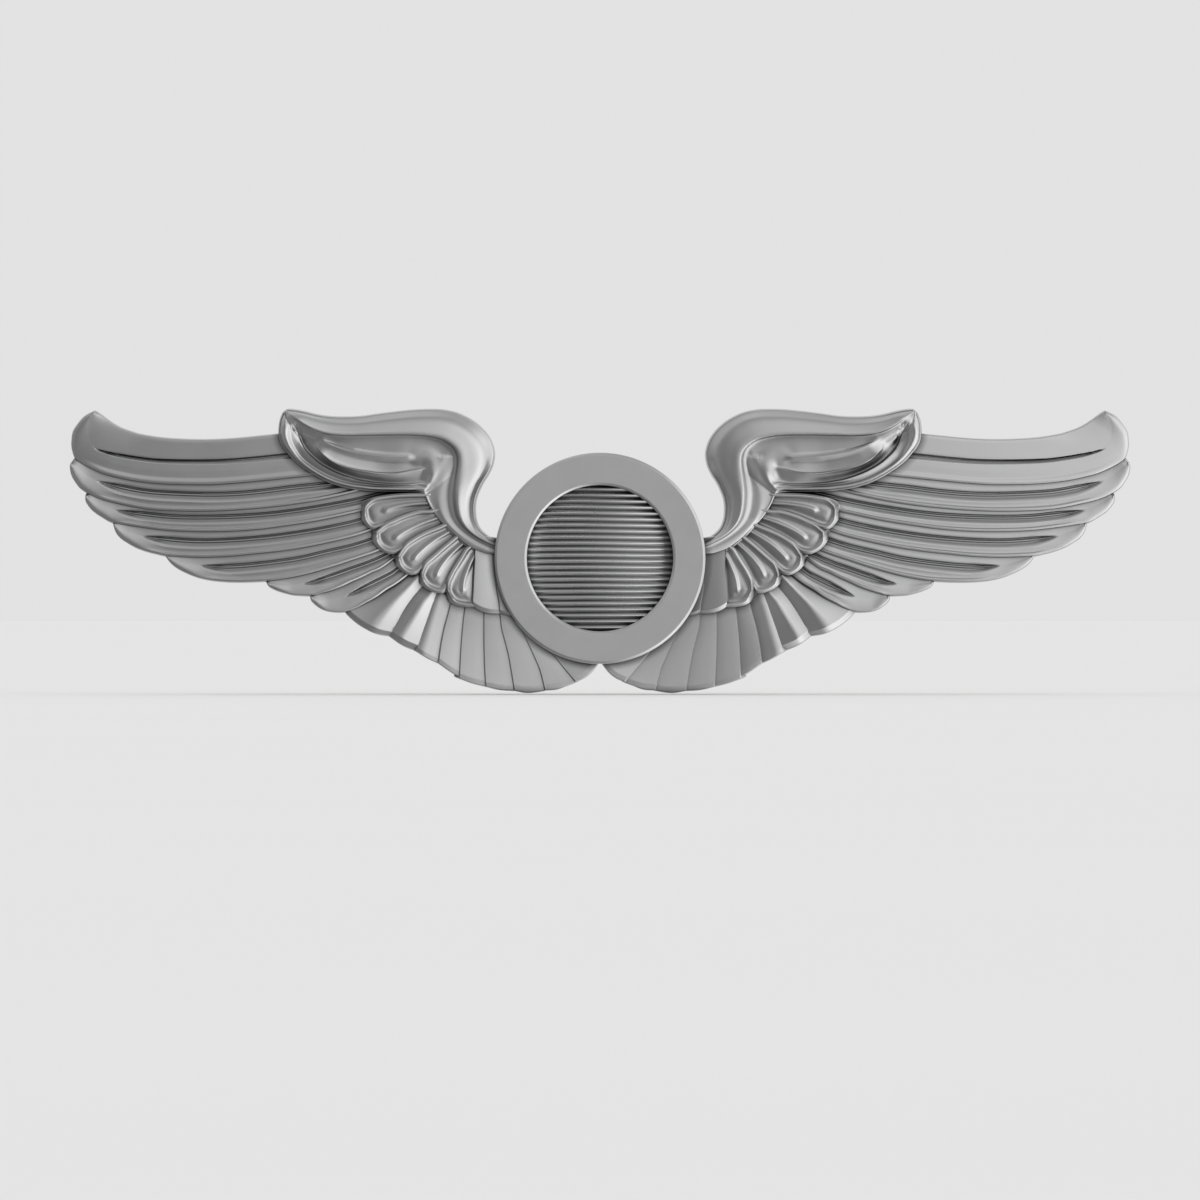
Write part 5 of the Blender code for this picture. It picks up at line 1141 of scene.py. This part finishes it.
def clean_mesh(mesh, dist=1.5e-6):
    bm = bmesh.new()
    bm.from_mesh(mesh)
    bmesh.ops.remove_doubles(bm, verts=bm.verts, dist=dist)
    bmesh.ops.dissolve_degenerate(bm, edges=bm.edges, dist=dist)
    n = biggest_body(bm)
    bmesh.ops.recalc_face_normals(bm, faces=bm.faces)
    if bm.calc_volume(signed=True) < 0:
        bmesh.ops.reverse_faces(bm, faces=bm.faces)
    return bm, n


def add_piece(name, bm, body, mat, nodes, angle=32):
    for v in bm.verts:
        v.co.y += BACK * MM
    mesh = bpy.data.meshes.new(name)
    bm.to_mesh(mesh)
    mesh.shade_smooth()
    mesh.set_sharp_from_angle(angle=math.radians(angle))
    mesh.materials.clear()
    mesh.materials.append(mat)
    ob = bpy.data.objects.new(name, mesh)
    bpy.context.scene.collection.objects.link(ob)
    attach(ob, body)
    for node in nodes:
        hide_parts(node)
    return ob


# ---------------------------------------------------------------- materials


def new_material(name):
    mat = bpy.data.materials.new(name)
    mat.use_nodes = True
    nt = mat.node_tree
    nt.nodes.clear()
    out = nt.nodes.new("ShaderNodeOutputMaterial")
    bsdf = nt.nodes.new("ShaderNodeBsdfPrincipled")
    nt.links.new(bsdf.outputs["BSDF"], out.inputs["Surface"])
    bsdf.inputs["Metallic"].default_value = 1.0
    return mat, nt, bsdf


def metal(name, colour, dark, rough, grain=0.5, grain_scale=9000.0, ao=0.35e-3, ao_power=1.0, mottled=0.035, bump=0.04, pitch=None):
    """Struck or stamped metal: fine blasted grain, tarnish and painted shade darkening the recesses, uneven polish."""
    mat, nt, bsdf = new_material(name)
    N, L = nt.nodes, nt.links
    coord = N.new("ShaderNodeTexCoord")
    # tarnish and painted shade: the colour darkens where ambient occlusion finds the surface shut in
    occ = N.new("ShaderNodeAmbientOcclusion")
    occ.samples = 10
    occ.inputs["Distance"].default_value = ao
    power = N.new("ShaderNodeMath")
    power.operation = "POWER"
    power.inputs[1].default_value = ao_power
    L.new(occ.outputs["AO"], power.inputs[0])
    tarnish_and_shade = power.outputs[0]
    if pitch:
        # oxide and painted shade between ribs that run across at this pitch (mm), darkest in the grooves and light on
        # their crowns
        axes = N.new("ShaderNodeSeparateXYZ")
        L.new(coord.outputs["Object"], axes.inputs[0])
        phase = N.new("ShaderNodeMath")
        phase.operation = "MULTIPLY_ADD"
        phase.inputs[1].default_value = 1.0 / (pitch * MM)
        phase.inputs[2].default_value = 100.0
        L.new(axes.outputs["Z"], phase.inputs[0])
        frac = N.new("ShaderNodeMath")
        frac.operation = "FRACT"
        L.new(phase.outputs[0], frac.inputs[0])
        centre = N.new("ShaderNodeMath")
        centre.operation = "SUBTRACT"
        centre.inputs[1].default_value = 0.5
        L.new(frac.outputs[0], centre.inputs[0])
        away = N.new("ShaderNodeMath")
        away.operation = "ABSOLUTE"
        L.new(centre.outputs[0], away.inputs[0])
        groove_tarnish_and_shade = N.new("ShaderNodeMapRange")
        groove_tarnish_and_shade.interpolation_type = "SMOOTHSTEP"
        groove_tarnish_and_shade.inputs["From Min"].default_value = 0.10
        groove_tarnish_and_shade.inputs["From Max"].default_value = 0.42
        groove_tarnish_and_shade.inputs["To Min"].default_value = 1.0
        groove_tarnish_and_shade.inputs["To Max"].default_value = 0.12
        L.new(away.outputs[0], groove_tarnish_and_shade.inputs["Value"])
        tarnish_and_shade = groove_tarnish_and_shade.outputs["Result"]
    mott = N.new("ShaderNodeTexNoise")
    mott.inputs["Scale"].default_value = 260.0
    mott.inputs["Detail"].default_value = 5.0
    mott.inputs["Roughness"].default_value = 0.6
    L.new(coord.outputs["Object"], mott.inputs["Vector"])
    shade = N.new("ShaderNodeMapRange")
    shade.inputs["From Min"].default_value = 0.3
    shade.inputs["From Max"].default_value = 0.7
    shade.inputs["To Min"].default_value = 1.0 - mottled
    shade.inputs["To Max"].default_value = 1.0
    L.new(mott.outputs["Fac"], shade.inputs["Value"])
    mix = N.new("ShaderNodeMix")
    mix.data_type = "RGBA"
    mix.inputs["A"].default_value = (*dark, 1)
    mix.inputs["B"].default_value = (*colour, 1)
    L.new(tarnish_and_shade, mix.inputs["Factor"])
    tint = N.new("ShaderNodeMix")
    tint.data_type = "RGBA"
    tint.blend_type = "MULTIPLY"
    tint.inputs["Factor"].default_value = 1.0
    L.new(mix.outputs["Result"], tint.inputs["A"])
    L.new(shade.outputs["Result"], tint.inputs["B"])
    L.new(tint.outputs["Result"], bsdf.inputs["Base Color"])
    grit = N.new("ShaderNodeTexNoise")
    grit.inputs["Scale"].default_value = grain_scale
    grit.inputs["Detail"].default_value = 3.0
    grit.inputs["Roughness"].default_value = 0.7
    L.new(coord.outputs["Object"], grit.inputs["Vector"])
    r = N.new("ShaderNodeMapRange")
    r.inputs["From Min"].default_value = 0.25
    r.inputs["From Max"].default_value = 0.75
    r.inputs["To Min"].default_value = rough - 0.02
    r.inputs["To Max"].default_value = rough + 0.03
    L.new(mott.outputs["Fac"], r.inputs["Value"])
    L.new(r.outputs["Result"], bsdf.inputs["Roughness"])
    b = N.new("ShaderNodeBump")
    b.inputs["Strength"].default_value = grain
    b.inputs["Distance"].default_value = bump * MM
    L.new(grit.outputs["Fac"], b.inputs["Height"])
    L.new(b.outputs["Normal"], bsdf.inputs["Normal"])
    return mat


# the dark colours below are tarnish and painted shade, mixed in where each surface is shut in
SATIN = metal("satin_silver", (0.64, 0.64, 0.645), (0.07, 0.07, 0.072), 0.31, grain=0.18, bump=0.01, ao=0.60e-3, ao_power=2.3)
RIBBED = metal("oxidised_silver", (0.74, 0.74, 0.745), (0.05, 0.05, 0.052), 0.27, grain=0.06, bump=0.01, pitch=0.435)
PLATED = metal("plated_back", (0.66, 0.66, 0.655), (0.35, 0.35, 0.34), 0.30, grain=0.2, bump=0.01)
POSTM = metal("post_steel", (0.72, 0.71, 0.69), (0.4, 0.4, 0.38), 0.20, grain=0.1, bump=0.006)
BRASS = metal("clutch_brass", (0.83, 0.62, 0.28), (0.42, 0.27, 0.10), 0.24, grain=0.12, bump=0.008)
SPRING = metal("spring_brass", (0.78, 0.56, 0.23), (0.40, 0.25, 0.09), 0.20, grain=0.12, bump=0.008)

# ---------------------------------------------------------------- wings

wing = build_wing()
wing_bm, bodies_found = clean_mesh(wing.data)
print("wing bodies", bodies_found, "faces", len(wing_bm.faces))
flip = wing_bm.copy()
for v in flip.verts:
    v.co.x = -v.co.x
bmesh.ops.reverse_faces(flip, faces=flip.faces)
add_piece("left_wing_fine", wing_bm, "pin", SATIN, ["left_wing"])
add_piece("right_wing_fine", flip, "pin", SATIN, ["right_wing"])
wing_bm.free()
flip.free()

# ---------------------------------------------------------------- turned pieces


def round_profile(pts, radii, steps=5):
    """Rounds the corners of a closed (radius, y) profile."""
    out = []
    n = len(pts)
    for i, (p, r) in enumerate(zip(pts, radii)):
        p = np.array(p, float)
        a, b = np.array(pts[i - 1], float), np.array(pts[(i + 1) % n], float)
        if r <= 0:
            out.append(tuple(p))
            continue
        ua, ub = a - p, b - p
        la, lb = np.hypot(*ua), np.hypot(*ub)
        ua, ub = ua / la, ub / lb
        ang = math.acos(max(-1, min(1, float(ua @ ub))))
        cutlen = min(r / math.tan(ang / 2), la * 0.45, lb * 0.45)
        s, e = p + ua * cutlen, p + ub * cutlen
        # a line close beside each rounding keeps the flats flat
        out.append(tuple(s + ua * min(0.03, 0.05 * la)))
        for k in range(steps + 1):
            t = k / steps
            q = (1 - t) ** 2 * s + 2 * t * (1 - t) * p + t * t * e
            out.append((float(q[0]), float(q[1])))
        out.append(tuple(e + ub * min(0.03, 0.05 * lb)))
    return out


def turned_bm(profile, at=(0.0, 0.0), segments=128, closed=True):
    """Spins a (radius, y) profile about Y; open profiles start and end on the axis."""
    prof = np.array(profile)
    bm = bmesh.new()
    n = len(prof)
    rings = []
    for r, y in prof:
        if r < 1e-6:
            rings.append([bm.verts.new((at[0] * MM, y * MM, at[1] * MM))])
        else:
            rings.append(
                [
                    bm.verts.new(
                        (
                            (at[0] + r * math.cos(2 * math.pi * k / segments)) * MM,
                            y * MM,
                            (at[1] + r * math.sin(2 * math.pi * k / segments)) * MM,
                        )
                    )
                    for k in range(segments)
                ]
            )
    last = n if closed else n - 1
    for i in range(last):
        a, b = rings[i], rings[(i + 1) % n]
        for k in range(segments):
            q = (k + 1) % segments
            if len(a) == 1 and len(b) == 1:
                continue
            if len(a) == 1:
                bm.faces.new((a[0], b[q], b[k]))
            elif len(b) == 1:
                bm.faces.new((a[k], a[q], b[0]))
            else:
                bm.faces.new((a[k], a[q], b[q], b[k]))
    bmesh.ops.recalc_face_normals(bm, faces=bm.faces)
    if bm.calc_volume(signed=True) < 0:
        bmesh.ops.reverse_faces(bm, faces=bm.faces)
    return bm


C, CH = 0.16, 0.10
ring = round_profile(
    [
        (RING_R_OUT, 0.0),
        (RING_R_OUT, -(RING_FRONT - CH * 1.3)),
        (RING_R_OUT - C, -RING_FRONT),
        (RING_R_IN + C, -RING_FRONT),
        (RING_R_IN, -(RING_FRONT - CH)),
        (RING_R_IN, -1.10),
        (4.60, -1.10),
        (4.60, 0.0),
    ],
    [0.08, 0.06, 0.05, 0.05, 0.06, 0.04, 0.04, 0.05],
)
bm = turned_bm(ring, segments=320)
add_piece("centre_ring_fine", bm, "pin", SATIN, ["centre_ring"], angle=40)
bm.free()


def disc_bm():
    """A domed disc with half-round ribs across it."""
    radius, back, face, dome = 5.23, 1.12, 1.95, 0.78
    ribs, pitch, high = 24, 0.435, 0.12
    half = ribs * pitch / 2
    zs, hs = [], []
    zs.append(-radius * 0.9995)
    hs.append(0.0)
    for i in range(ribs):
        z0 = -half + i * pitch
        for f in (0.04, 0.14, 0.22, 0.29, 0.35, 0.40, 0.45, 0.50, 0.55, 0.60, 0.65, 0.71, 0.78, 0.86):
            zs.append(z0 + pitch * f)
            hs.append(high * math.exp(-(((f - 0.5) / 0.24) ** 2)))
    zs.append(radius * 0.9995)
    hs.append(0.0)
    zs, hs = np.array(zs), np.array(hs)
    keep = abs(zs) <= radius * 0.9996
    zs, hs = zs[keep], hs[keep]
    cols = count(64)
    c = np.sin(np.linspace(-math.pi / 2, math.pi / 2, cols))
    xe = np.sqrt(np.maximum(radius**2 - zs**2, 0.0))
    X = xe[:, None] * c[None]
    Z = np.repeat(zs[:, None], cols, 1)
    R2 = (X**2 + Z**2) / radius**2
    H = face + hs[:, None] + dome * (1 - R2)
    ob = solid_from_grid("disc", X, Z, H, -back, edge=0.0, draft=0.0, steps=1)
    bm = bmesh.new()
    bm.from_mesh(ob.data)
    bmesh.ops.remove_doubles(bm, verts=bm.verts, dist=1e-7)
    bmesh.ops.recalc_face_normals(bm, faces=bm.faces)
    return bm


bm = disc_bm()
add_piece("ribbed_disc_fine", bm, "pin", RIBBED, ["ribbed_disc"], angle=35)
bm.free()

# ---------------------------------------------------------------- the back: plate, posts, clutches

PLATE_GAP, PLATE_T, FIT = 0.02, 0.55, 0.02
POST_R, POST_TIP, POST_FLANGE_R, POST_FLANGE_T = 0.575, 6.75, 1.9, 0.45
CLUTCH_FRONT, CLUTCH_R = 2.00, 5.2
CAP_R, CAP_REAR, CAP_REAR_R, WALL = 3.4, 7.30, 1.9, 0.28
LEAF_T, LEAF_W = 0.30, 2.2


def plate_outline():
    """A disc with a rounded tab to each side."""
    r, tab, top, bot, fil = 6.9, 11.6, 1.4, -4.6, 1.4
    ja, jb = math.asin(top / r), math.asin(bot / r)
    arcs = [
        (0, 0, r, ja, math.pi - ja, 60),
        (-tab + fil, top - fil, fil, math.pi / 2, math.pi, 14),
        (-tab + fil, bot + fil, fil, math.pi, 1.5 * math.pi, 14),
        (0, 0, r, math.pi - jb, 2 * math.pi + jb, 60),
        (tab - fil, bot + fil, fil, -math.pi / 2, 0, 14),
        (tab - fil, top - fil, fil, 0, math.pi / 2, 14),
    ]
    out = []
    for cx, cz, rad, a0, a1, n in arcs:
        for k in range(n + 1):
            ang = a0 + (a1 - a0) * k / n
            out.append((cx + rad * math.cos(ang), cz + rad * math.sin(ang)))
    return np.array(out)


def rounded_plate_bm(pts, y0, y1, r):
    """A flat plate with both edges rounded over."""
    t = np.roll(pts, -1, 0) - np.roll(pts, 1, 0)
    nrm = np.stack([t[:, 1], -t[:, 0]], 1)
    nrm /= np.maximum(np.hypot(*nrm.T), 1e-9)[:, None]
    steps = [math.pi / 2 * k / 5 for k in range(6)]
    layers = [(r * (1 - math.sin(a)), y0 + r * (1 - math.cos(a))) for a in steps]
    layers += [(r * (1 - math.cos(a)), y1 - r * (1 - math.sin(a))) for a in steps]
    bm = bmesh.new()
    rings = []
    for inset, y in layers:
        q = pts - nrm * inset
        rings.append([bm.verts.new((x * MM, y * MM, z * MM)) for x, z in q])
    n = len(pts)
    for a, b in zip(rings, rings[1:]):
        for k in range(n):
            bm.faces.new((a[k], a[(k + 1) % n], b[(k + 1) % n], b[k]))
    bm.faces.new(rings[0])
    bm.faces.new(rings[-1][::-1])
    bmesh.ops.recalc_face_normals(bm, faces=bm.faces)
    if bm.calc_volume(signed=True) < 0:
        bmesh.ops.reverse_faces(bm, faces=bm.faces)
    return bm


def object_from(bm, name):
    mesh = bpy.data.meshes.new(name)
    bm.to_mesh(mesh)
    bm.free()
    ob = bpy.data.objects.new(name, mesh)
    WORK.objects.link(ob)
    return ob


def bm_from(ob):
    bm = bmesh.new()
    bm.from_mesh(ob.data)
    return bm


def leaf_bm(side, at):
    """One squeeze wing: a bent strip with rounded edges, finger ridges and a half-round notch at the post."""
    rail = Rail(
        [(0.05, HINGE_Y), (1.5, HINGE_Y), (HINGE_X, HINGE_Y), (4.05, HINGE_Y + 0.04), (4.75, HINGE_Y + 0.5)]
        + [(5.15, 4.85), (5.45, 5.8), (5.85, 6.33), (6.30, 6.5)]
    )
    n = count(96)
    ts = np.linspace(0, 1, n)
    xy = rail.at(ts).T
    tan = np.gradient(xy, axis=0)
    tan /= np.hypot(*tan.T)[:, None]
    nrm = np.stack([-tan[:, 1], tan[:, 0]], 1)
    left = (1 - ts) * rail.length
    r = 0.75
    half = np.where(left < r, LEAF_W / 2 - r + np.sqrt(np.maximum(r * r - (r - left) ** 2, 0.0)), LEAF_W / 2)
    thick = LEAF_T / 2 * np.clip(left / 0.12 + 0.25, 0.25, 1.0) ** 0.5
    ridges = 0.022 * np.cos(left * 2 * math.pi / 0.42) * smooth((left - 0.35) / 0.2) * smooth((2.3 - left) / 0.3)
    bm = bmesh.new()
    rings = []
    m = 28
    for i in range(n):
        ring = []
        for k in range(m):
            a = 2 * math.pi * (k + 0.5) / m
            ca, sa = math.cos(a), math.sin(a)
            w = math.copysign(abs(ca) ** 0.35, ca) * half[i]
            h = math.copysign(abs(sa) ** 0.45, sa) * (thick[i] + (ridges[i] if abs(ca) < 0.9 else 0.0))
            p = xy[i] + nrm[i] * h
            ring.append(bm.verts.new(((at[0] + side * p[0]) * MM, p[1] * MM, (at[1] + w) * MM)))
        rings.append(ring)
    for a, b in zip(rings, rings[1:]):
        for k in range(m):
            bm.faces.new((a[k], a[(k + 1) % m], b[(k + 1) % m], b[k]))
    bm.faces.new(rings[0])
    bm.faces.new(rings[-1][::-1])
    bmesh.ops.recalc_face_normals(bm, faces=bm.faces)
    if bm.calc_volume(signed=True) < 0:
        bmesh.ops.reverse_faces(bm, faces=bm.faces)
    ob = object_from(bm, "leaf")
    boolean(ob, "DIFFERENCE", helper_drum("notch", POST_R + 0.1, 2.0, 5.0, at=at, segments=64), solver=SOLVER)
    settle(ob)
    return bm_from(ob)


def soldered_post_bm(at, seat):
    top = seat + POST_FLANGE_T
    prof = [
        (0.0, seat),
        (POST_FLANGE_R, seat),
        (POST_FLANGE_R, seat + POST_FLANGE_T * 0.6),
        (POST_R + 0.55, top - 0.02),
        (POST_R + 0.12, top + 0.06),
        (POST_R, top + 0.26),
        (POST_R, 5.0),
        (POST_R - 0.17, 5.12),
        (POST_R - 0.17, 5.40),
        (POST_R, 5.52),
        (POST_R, 5.86),
        (POST_R - 0.20, 6.22),
        (0.10, POST_TIP - 0.03),
        (0.0, POST_TIP),
    ]
    return turned_bm(round_profile(prof, [0, 0.05, 0.12, 0.15, 0.10, 0.12, 0.04, 0.05, 0.05, 0.04, 0.10, 0.15, 0.06, 0]), at, 64, closed=False)


def clutch_base_bm(at):
    y = CLUTCH_FRONT
    prof = [
        (POST_R + 0.12, y + 0.28),
        (1.5, y + 0.05),
        (2.6, y),
        (CLUTCH_R - 0.15, y),
        (CLUTCH_R, y + 0.12),
        (CLUTCH_R, y + 0.70),
        (CLUTCH_R - 0.12, y + 0.82),
        (CLUTCH_R - 0.24, y + 0.70),
        (CLUTCH_R - 0.24, y + 0.28),
        (2.7, y + 0.28),
        (1.6, y + 0.33),
        (POST_R + 0.12, y + 0.56),
    ]
    return turned_bm(round_profile(prof, [0.06, 0.3, 0.3, 0.08, 0.08, 0.06, 0.06, 0.05, 0.05, 0.2, 0.2, 0.06]), at, 128)


def clutch_cap_bm(at):
    y = CLUTCH_FRONT
    prof = [
        (CLUTCH_R - 0.3, y + 0.30),
        (CLUTCH_R - 0.3, y + 0.55),
        (CAP_R + 0.25, y + 0.58),
        (CAP_R, y + 0.85),
        (CAP_R - 0.05, 5.1),
        (CAP_R - 0.3, 6.3),
        (CAP_REAR_R + 0.45, 7.15),
        (CAP_REAR_R, CAP_REAR),
        (0.0, CAP_REAR),
        (0.0, CAP_REAR - WALL),
        (CAP_REAR_R - 0.1, CAP_REAR - WALL),
        (CAP_REAR_R + 0.3, 6.9),
        (CAP_R - 0.6, 6.15),
        (CAP_R - 0.05 - WALL, 5.05),
        (CAP_R - WALL, y + 0.80),
        (CAP_R - WALL + 0.15, y + 0.30),
    ]
    bm = turned_bm(round_profile(prof, [0.03, 0.08, 0.15, 0.2, 0.5, 0.5, 0.45, 0.2, 0, 0, 0.1, 0.2, 0.3, 0.3, 0.1, 0.03]), at, 128)
    ob = object_from(bm, "cap")
    window = helper_box(
        "window",
        (at[0] - 4.6, HINGE_Y - 0.32, at[1] - LEAF_W / 2 - 0.12),
        (at[0] + 4.6, HINGE_Y + 0.5, at[1] + LEAF_W / 2 + 0.12),
    )
    boolean(ob, "DIFFERENCE", window, solver=SOLVER)
    settle(ob)
    return bm_from(ob)


bm = rounded_plate_bm(plate_outline(), PLATE_GAP, PLATE_GAP + PLATE_T, 0.14)
add_piece("backing_plate_fine", bm, "pin", PLATED, ["backing_plate"])
bm.free()
for side, at in POSTS.items():
    seat = PLATE_GAP + PLATE_T + FIT if side == "centre" else FIT
    for part, body, slot, mat, bm in (
        ("post", "pin", "post_steel", POSTM, soldered_post_bm(at, seat)),
        ("clutch_base", side + "_clutch", "clutch_brass", BRASS, clutch_base_bm(at)),
        ("clutch_cap", side + "_clutch", "clutch_brass", BRASS, clutch_cap_bm(at)),
        ("spring_wing_a", side + "_spring_a", "spring_brass", SPRING, leaf_bm(-1, at)),
        ("spring_wing_b", side + "_spring_b", "spring_brass", SPRING, leaf_bm(1, at)),
    ):
        add_piece(side + "_" + part + "_fine", bm, body, mat, [side + "_" + part])
        bm.free()

for ob in list(WORK.all_objects):
    bpy.data.objects.remove(ob, do_unlink=True)
for col in list(WORK.children):
    bpy.data.collections.remove(col)
bpy.data.collections.remove(WORK)

# ---------------------------------------------------------------- floor, light, camera

KEY, BASE = 0.95, 0.08
SOFT = (
    ((0.342, -0.935, 0.08), 0.848, 0.996, 0.62),  # the near end of the key, right of the camera
    ((0.05, -0.86, 0.50), 0.86, 1.0, 0.46),  # strip above the camera
    ((-0.70, -0.66, 0.15), 0.80, 1.0, 0.12),  # weak strip left of the camera
    ((0.50, -0.60, -0.62), 0.78, 1.0, 0.50),  # low, right of the camera
    ((-0.68, 0.0, 0.73), 0.55, 1.0, 0.45),  # left and above
    ((0.45, 0.10, 0.88), 0.45, 1.0, 0.42),  # right and above
    ((0.15, 0.10, -0.98), 0.55, 1.0, 0.30),  # bounce from the table
    ((0.10, 0.99, 0.10), 0.42, 0.95, 0.62),  # behind, for the clutches
    ((-0.64, -0.62, -0.45), 0.66, 1.0, 0.16),  # faint, low on the left
)

lowest = CAD_BOX[0][2] * 1.0 - 0.0002
mesh = bpy.data.meshes.new("floor")
mesh.from_pydata([(x, y, lowest) for x, y in ((-5, -5), (5, -5), (5, 5), (-5, 5))], [], [(0, 1, 2, 3)])
floor = bpy.data.objects.new("floor", mesh)
bpy.context.scene.collection.objects.link(floor)
mat, nt, bsdf = new_material("floor_paint")
bsdf.inputs["Metallic"].default_value = 0.0
bsdf.inputs["Roughness"].default_value = 0.9
bsdf.inputs["Specular IOR Level"].default_value = 0.1
speck = nt.nodes.new("ShaderNodeTexNoise")
speck.inputs["Scale"].default_value = 120.0
tone = nt.nodes.new("ShaderNodeMapRange")
tone.inputs["To Min"].default_value = 0.795
tone.inputs["To Max"].default_value = 0.805
nt.links.new(speck.outputs["Fac"], tone.inputs["Value"])
grey = nt.nodes.new("ShaderNodeCombineColor")
for i in range(3):
    nt.links.new(tone.outputs["Result"], grey.inputs[i])
nt.links.new(grey.outputs[0], bsdf.inputs["Base Color"])
mesh.materials.append(mat)
floor.visible_glossy = False

world = bpy.data.worlds.new("studio")
bpy.context.scene.world = world
world.use_nodes = True
nt = world.node_tree
nt.nodes.clear()
N, L = nt.nodes, nt.links
out = N.new("ShaderNodeOutputWorld")
coord = N.new("ShaderNodeTexCoord")


def math_node(op, a, b=None):
    node = N.new("ShaderNodeMath")
    node.operation = op
    for i, v in enumerate((a, b)):
        if v is None:
            continue
        if isinstance(v, (int, float)):
            node.inputs[i].default_value = v
        else:
            L.new(v, node.inputs[i])
    return node.outputs[0]


def soft_box(towards, start, full, strength):
    """A soft light in one direction, fading from its full strength to nothing at the given cosines."""
    dot = N.new("ShaderNodeVectorMath")
    dot.operation = "DOT_PRODUCT"
    L.new(coord.outputs["Generated"], dot.inputs[0])
    dot.inputs[1].default_value = Vector(towards).normalized()
    ramp = N.new("ShaderNodeMapRange")
    ramp.interpolation_type = "SMOOTHSTEP"
    L.new(dot.outputs["Value"], ramp.inputs["Value"])
    ramp.inputs["From Min"].default_value = start
    ramp.inputs["From Max"].default_value = full
    ramp.inputs["To Min"].default_value = 0.0
    ramp.inputs["To Max"].default_value = strength
    return ramp.outputs["Result"]


total = math_node("ADD", soft_box((0.93, -0.30, -0.20), 0.35, 0.85, KEY), BASE)
for towards, start, full, strength in SOFT:
    total = math_node("ADD", total, soft_box(towards, start, full, strength))
bg_obj = N.new("ShaderNodeBackground")
comb = N.new("ShaderNodeCombineColor")
for i in range(3):
    L.new(total, comb.inputs[i])
L.new(comb.outputs[0], bg_obj.inputs["Color"])
bg_obj.inputs["Strength"].default_value = 1.0
bg_cam = N.new("ShaderNodeBackground")
bg_cam.inputs["Color"].default_value = (0.765, 0.765, 0.765, 1)
bg_fill = N.new("ShaderNodeBackground")
bg_fill.inputs["Color"].default_value = (0.98, 0.98, 0.98, 1)
path = N.new("ShaderNodeLightPath")
mix_a = N.new("ShaderNodeMixShader")
L.new(path.outputs["Is Glossy Ray"], mix_a.inputs[0])
L.new(bg_fill.outputs[0], mix_a.inputs[1])
L.new(bg_obj.outputs[0], mix_a.inputs[2])
mixs = N.new("ShaderNodeMixShader")
L.new(path.outputs["Is Camera Ray"], mixs.inputs[0])
L.new(mix_a.outputs[0], mixs.inputs[1])
L.new(bg_cam.outputs[0], mixs.inputs[2])
L.new(mixs.outputs[0], out.inputs["Surface"])

scene = bpy.context.scene
scene.view_settings.view_transform = "Standard"
scene.view_settings.look = "None"

WIDTH = 1200 * 0.07189 * MM  # what the frame spans at the pin's front
LENS_MM = 600.0
distance = WIDTH * LENS_MM / 36.0
cam = bpy.data.cameras.new("camera")
cam.lens = LENS_MM
cam.sensor_width = 36.0
cam.clip_start = 0.01
cam.clip_end = 20.0
cam_ob = bpy.data.objects.new("camera", cam)
cam_ob.location = (0.0, (BACK - 1.8) * MM - distance, -3.0 * MM)
cam_ob.rotation_euler = (math.pi / 2, 0, 0)
scene.collection.objects.link(cam_ob)
scene.camera = cam_ob

bpy.context.view_layer.update()
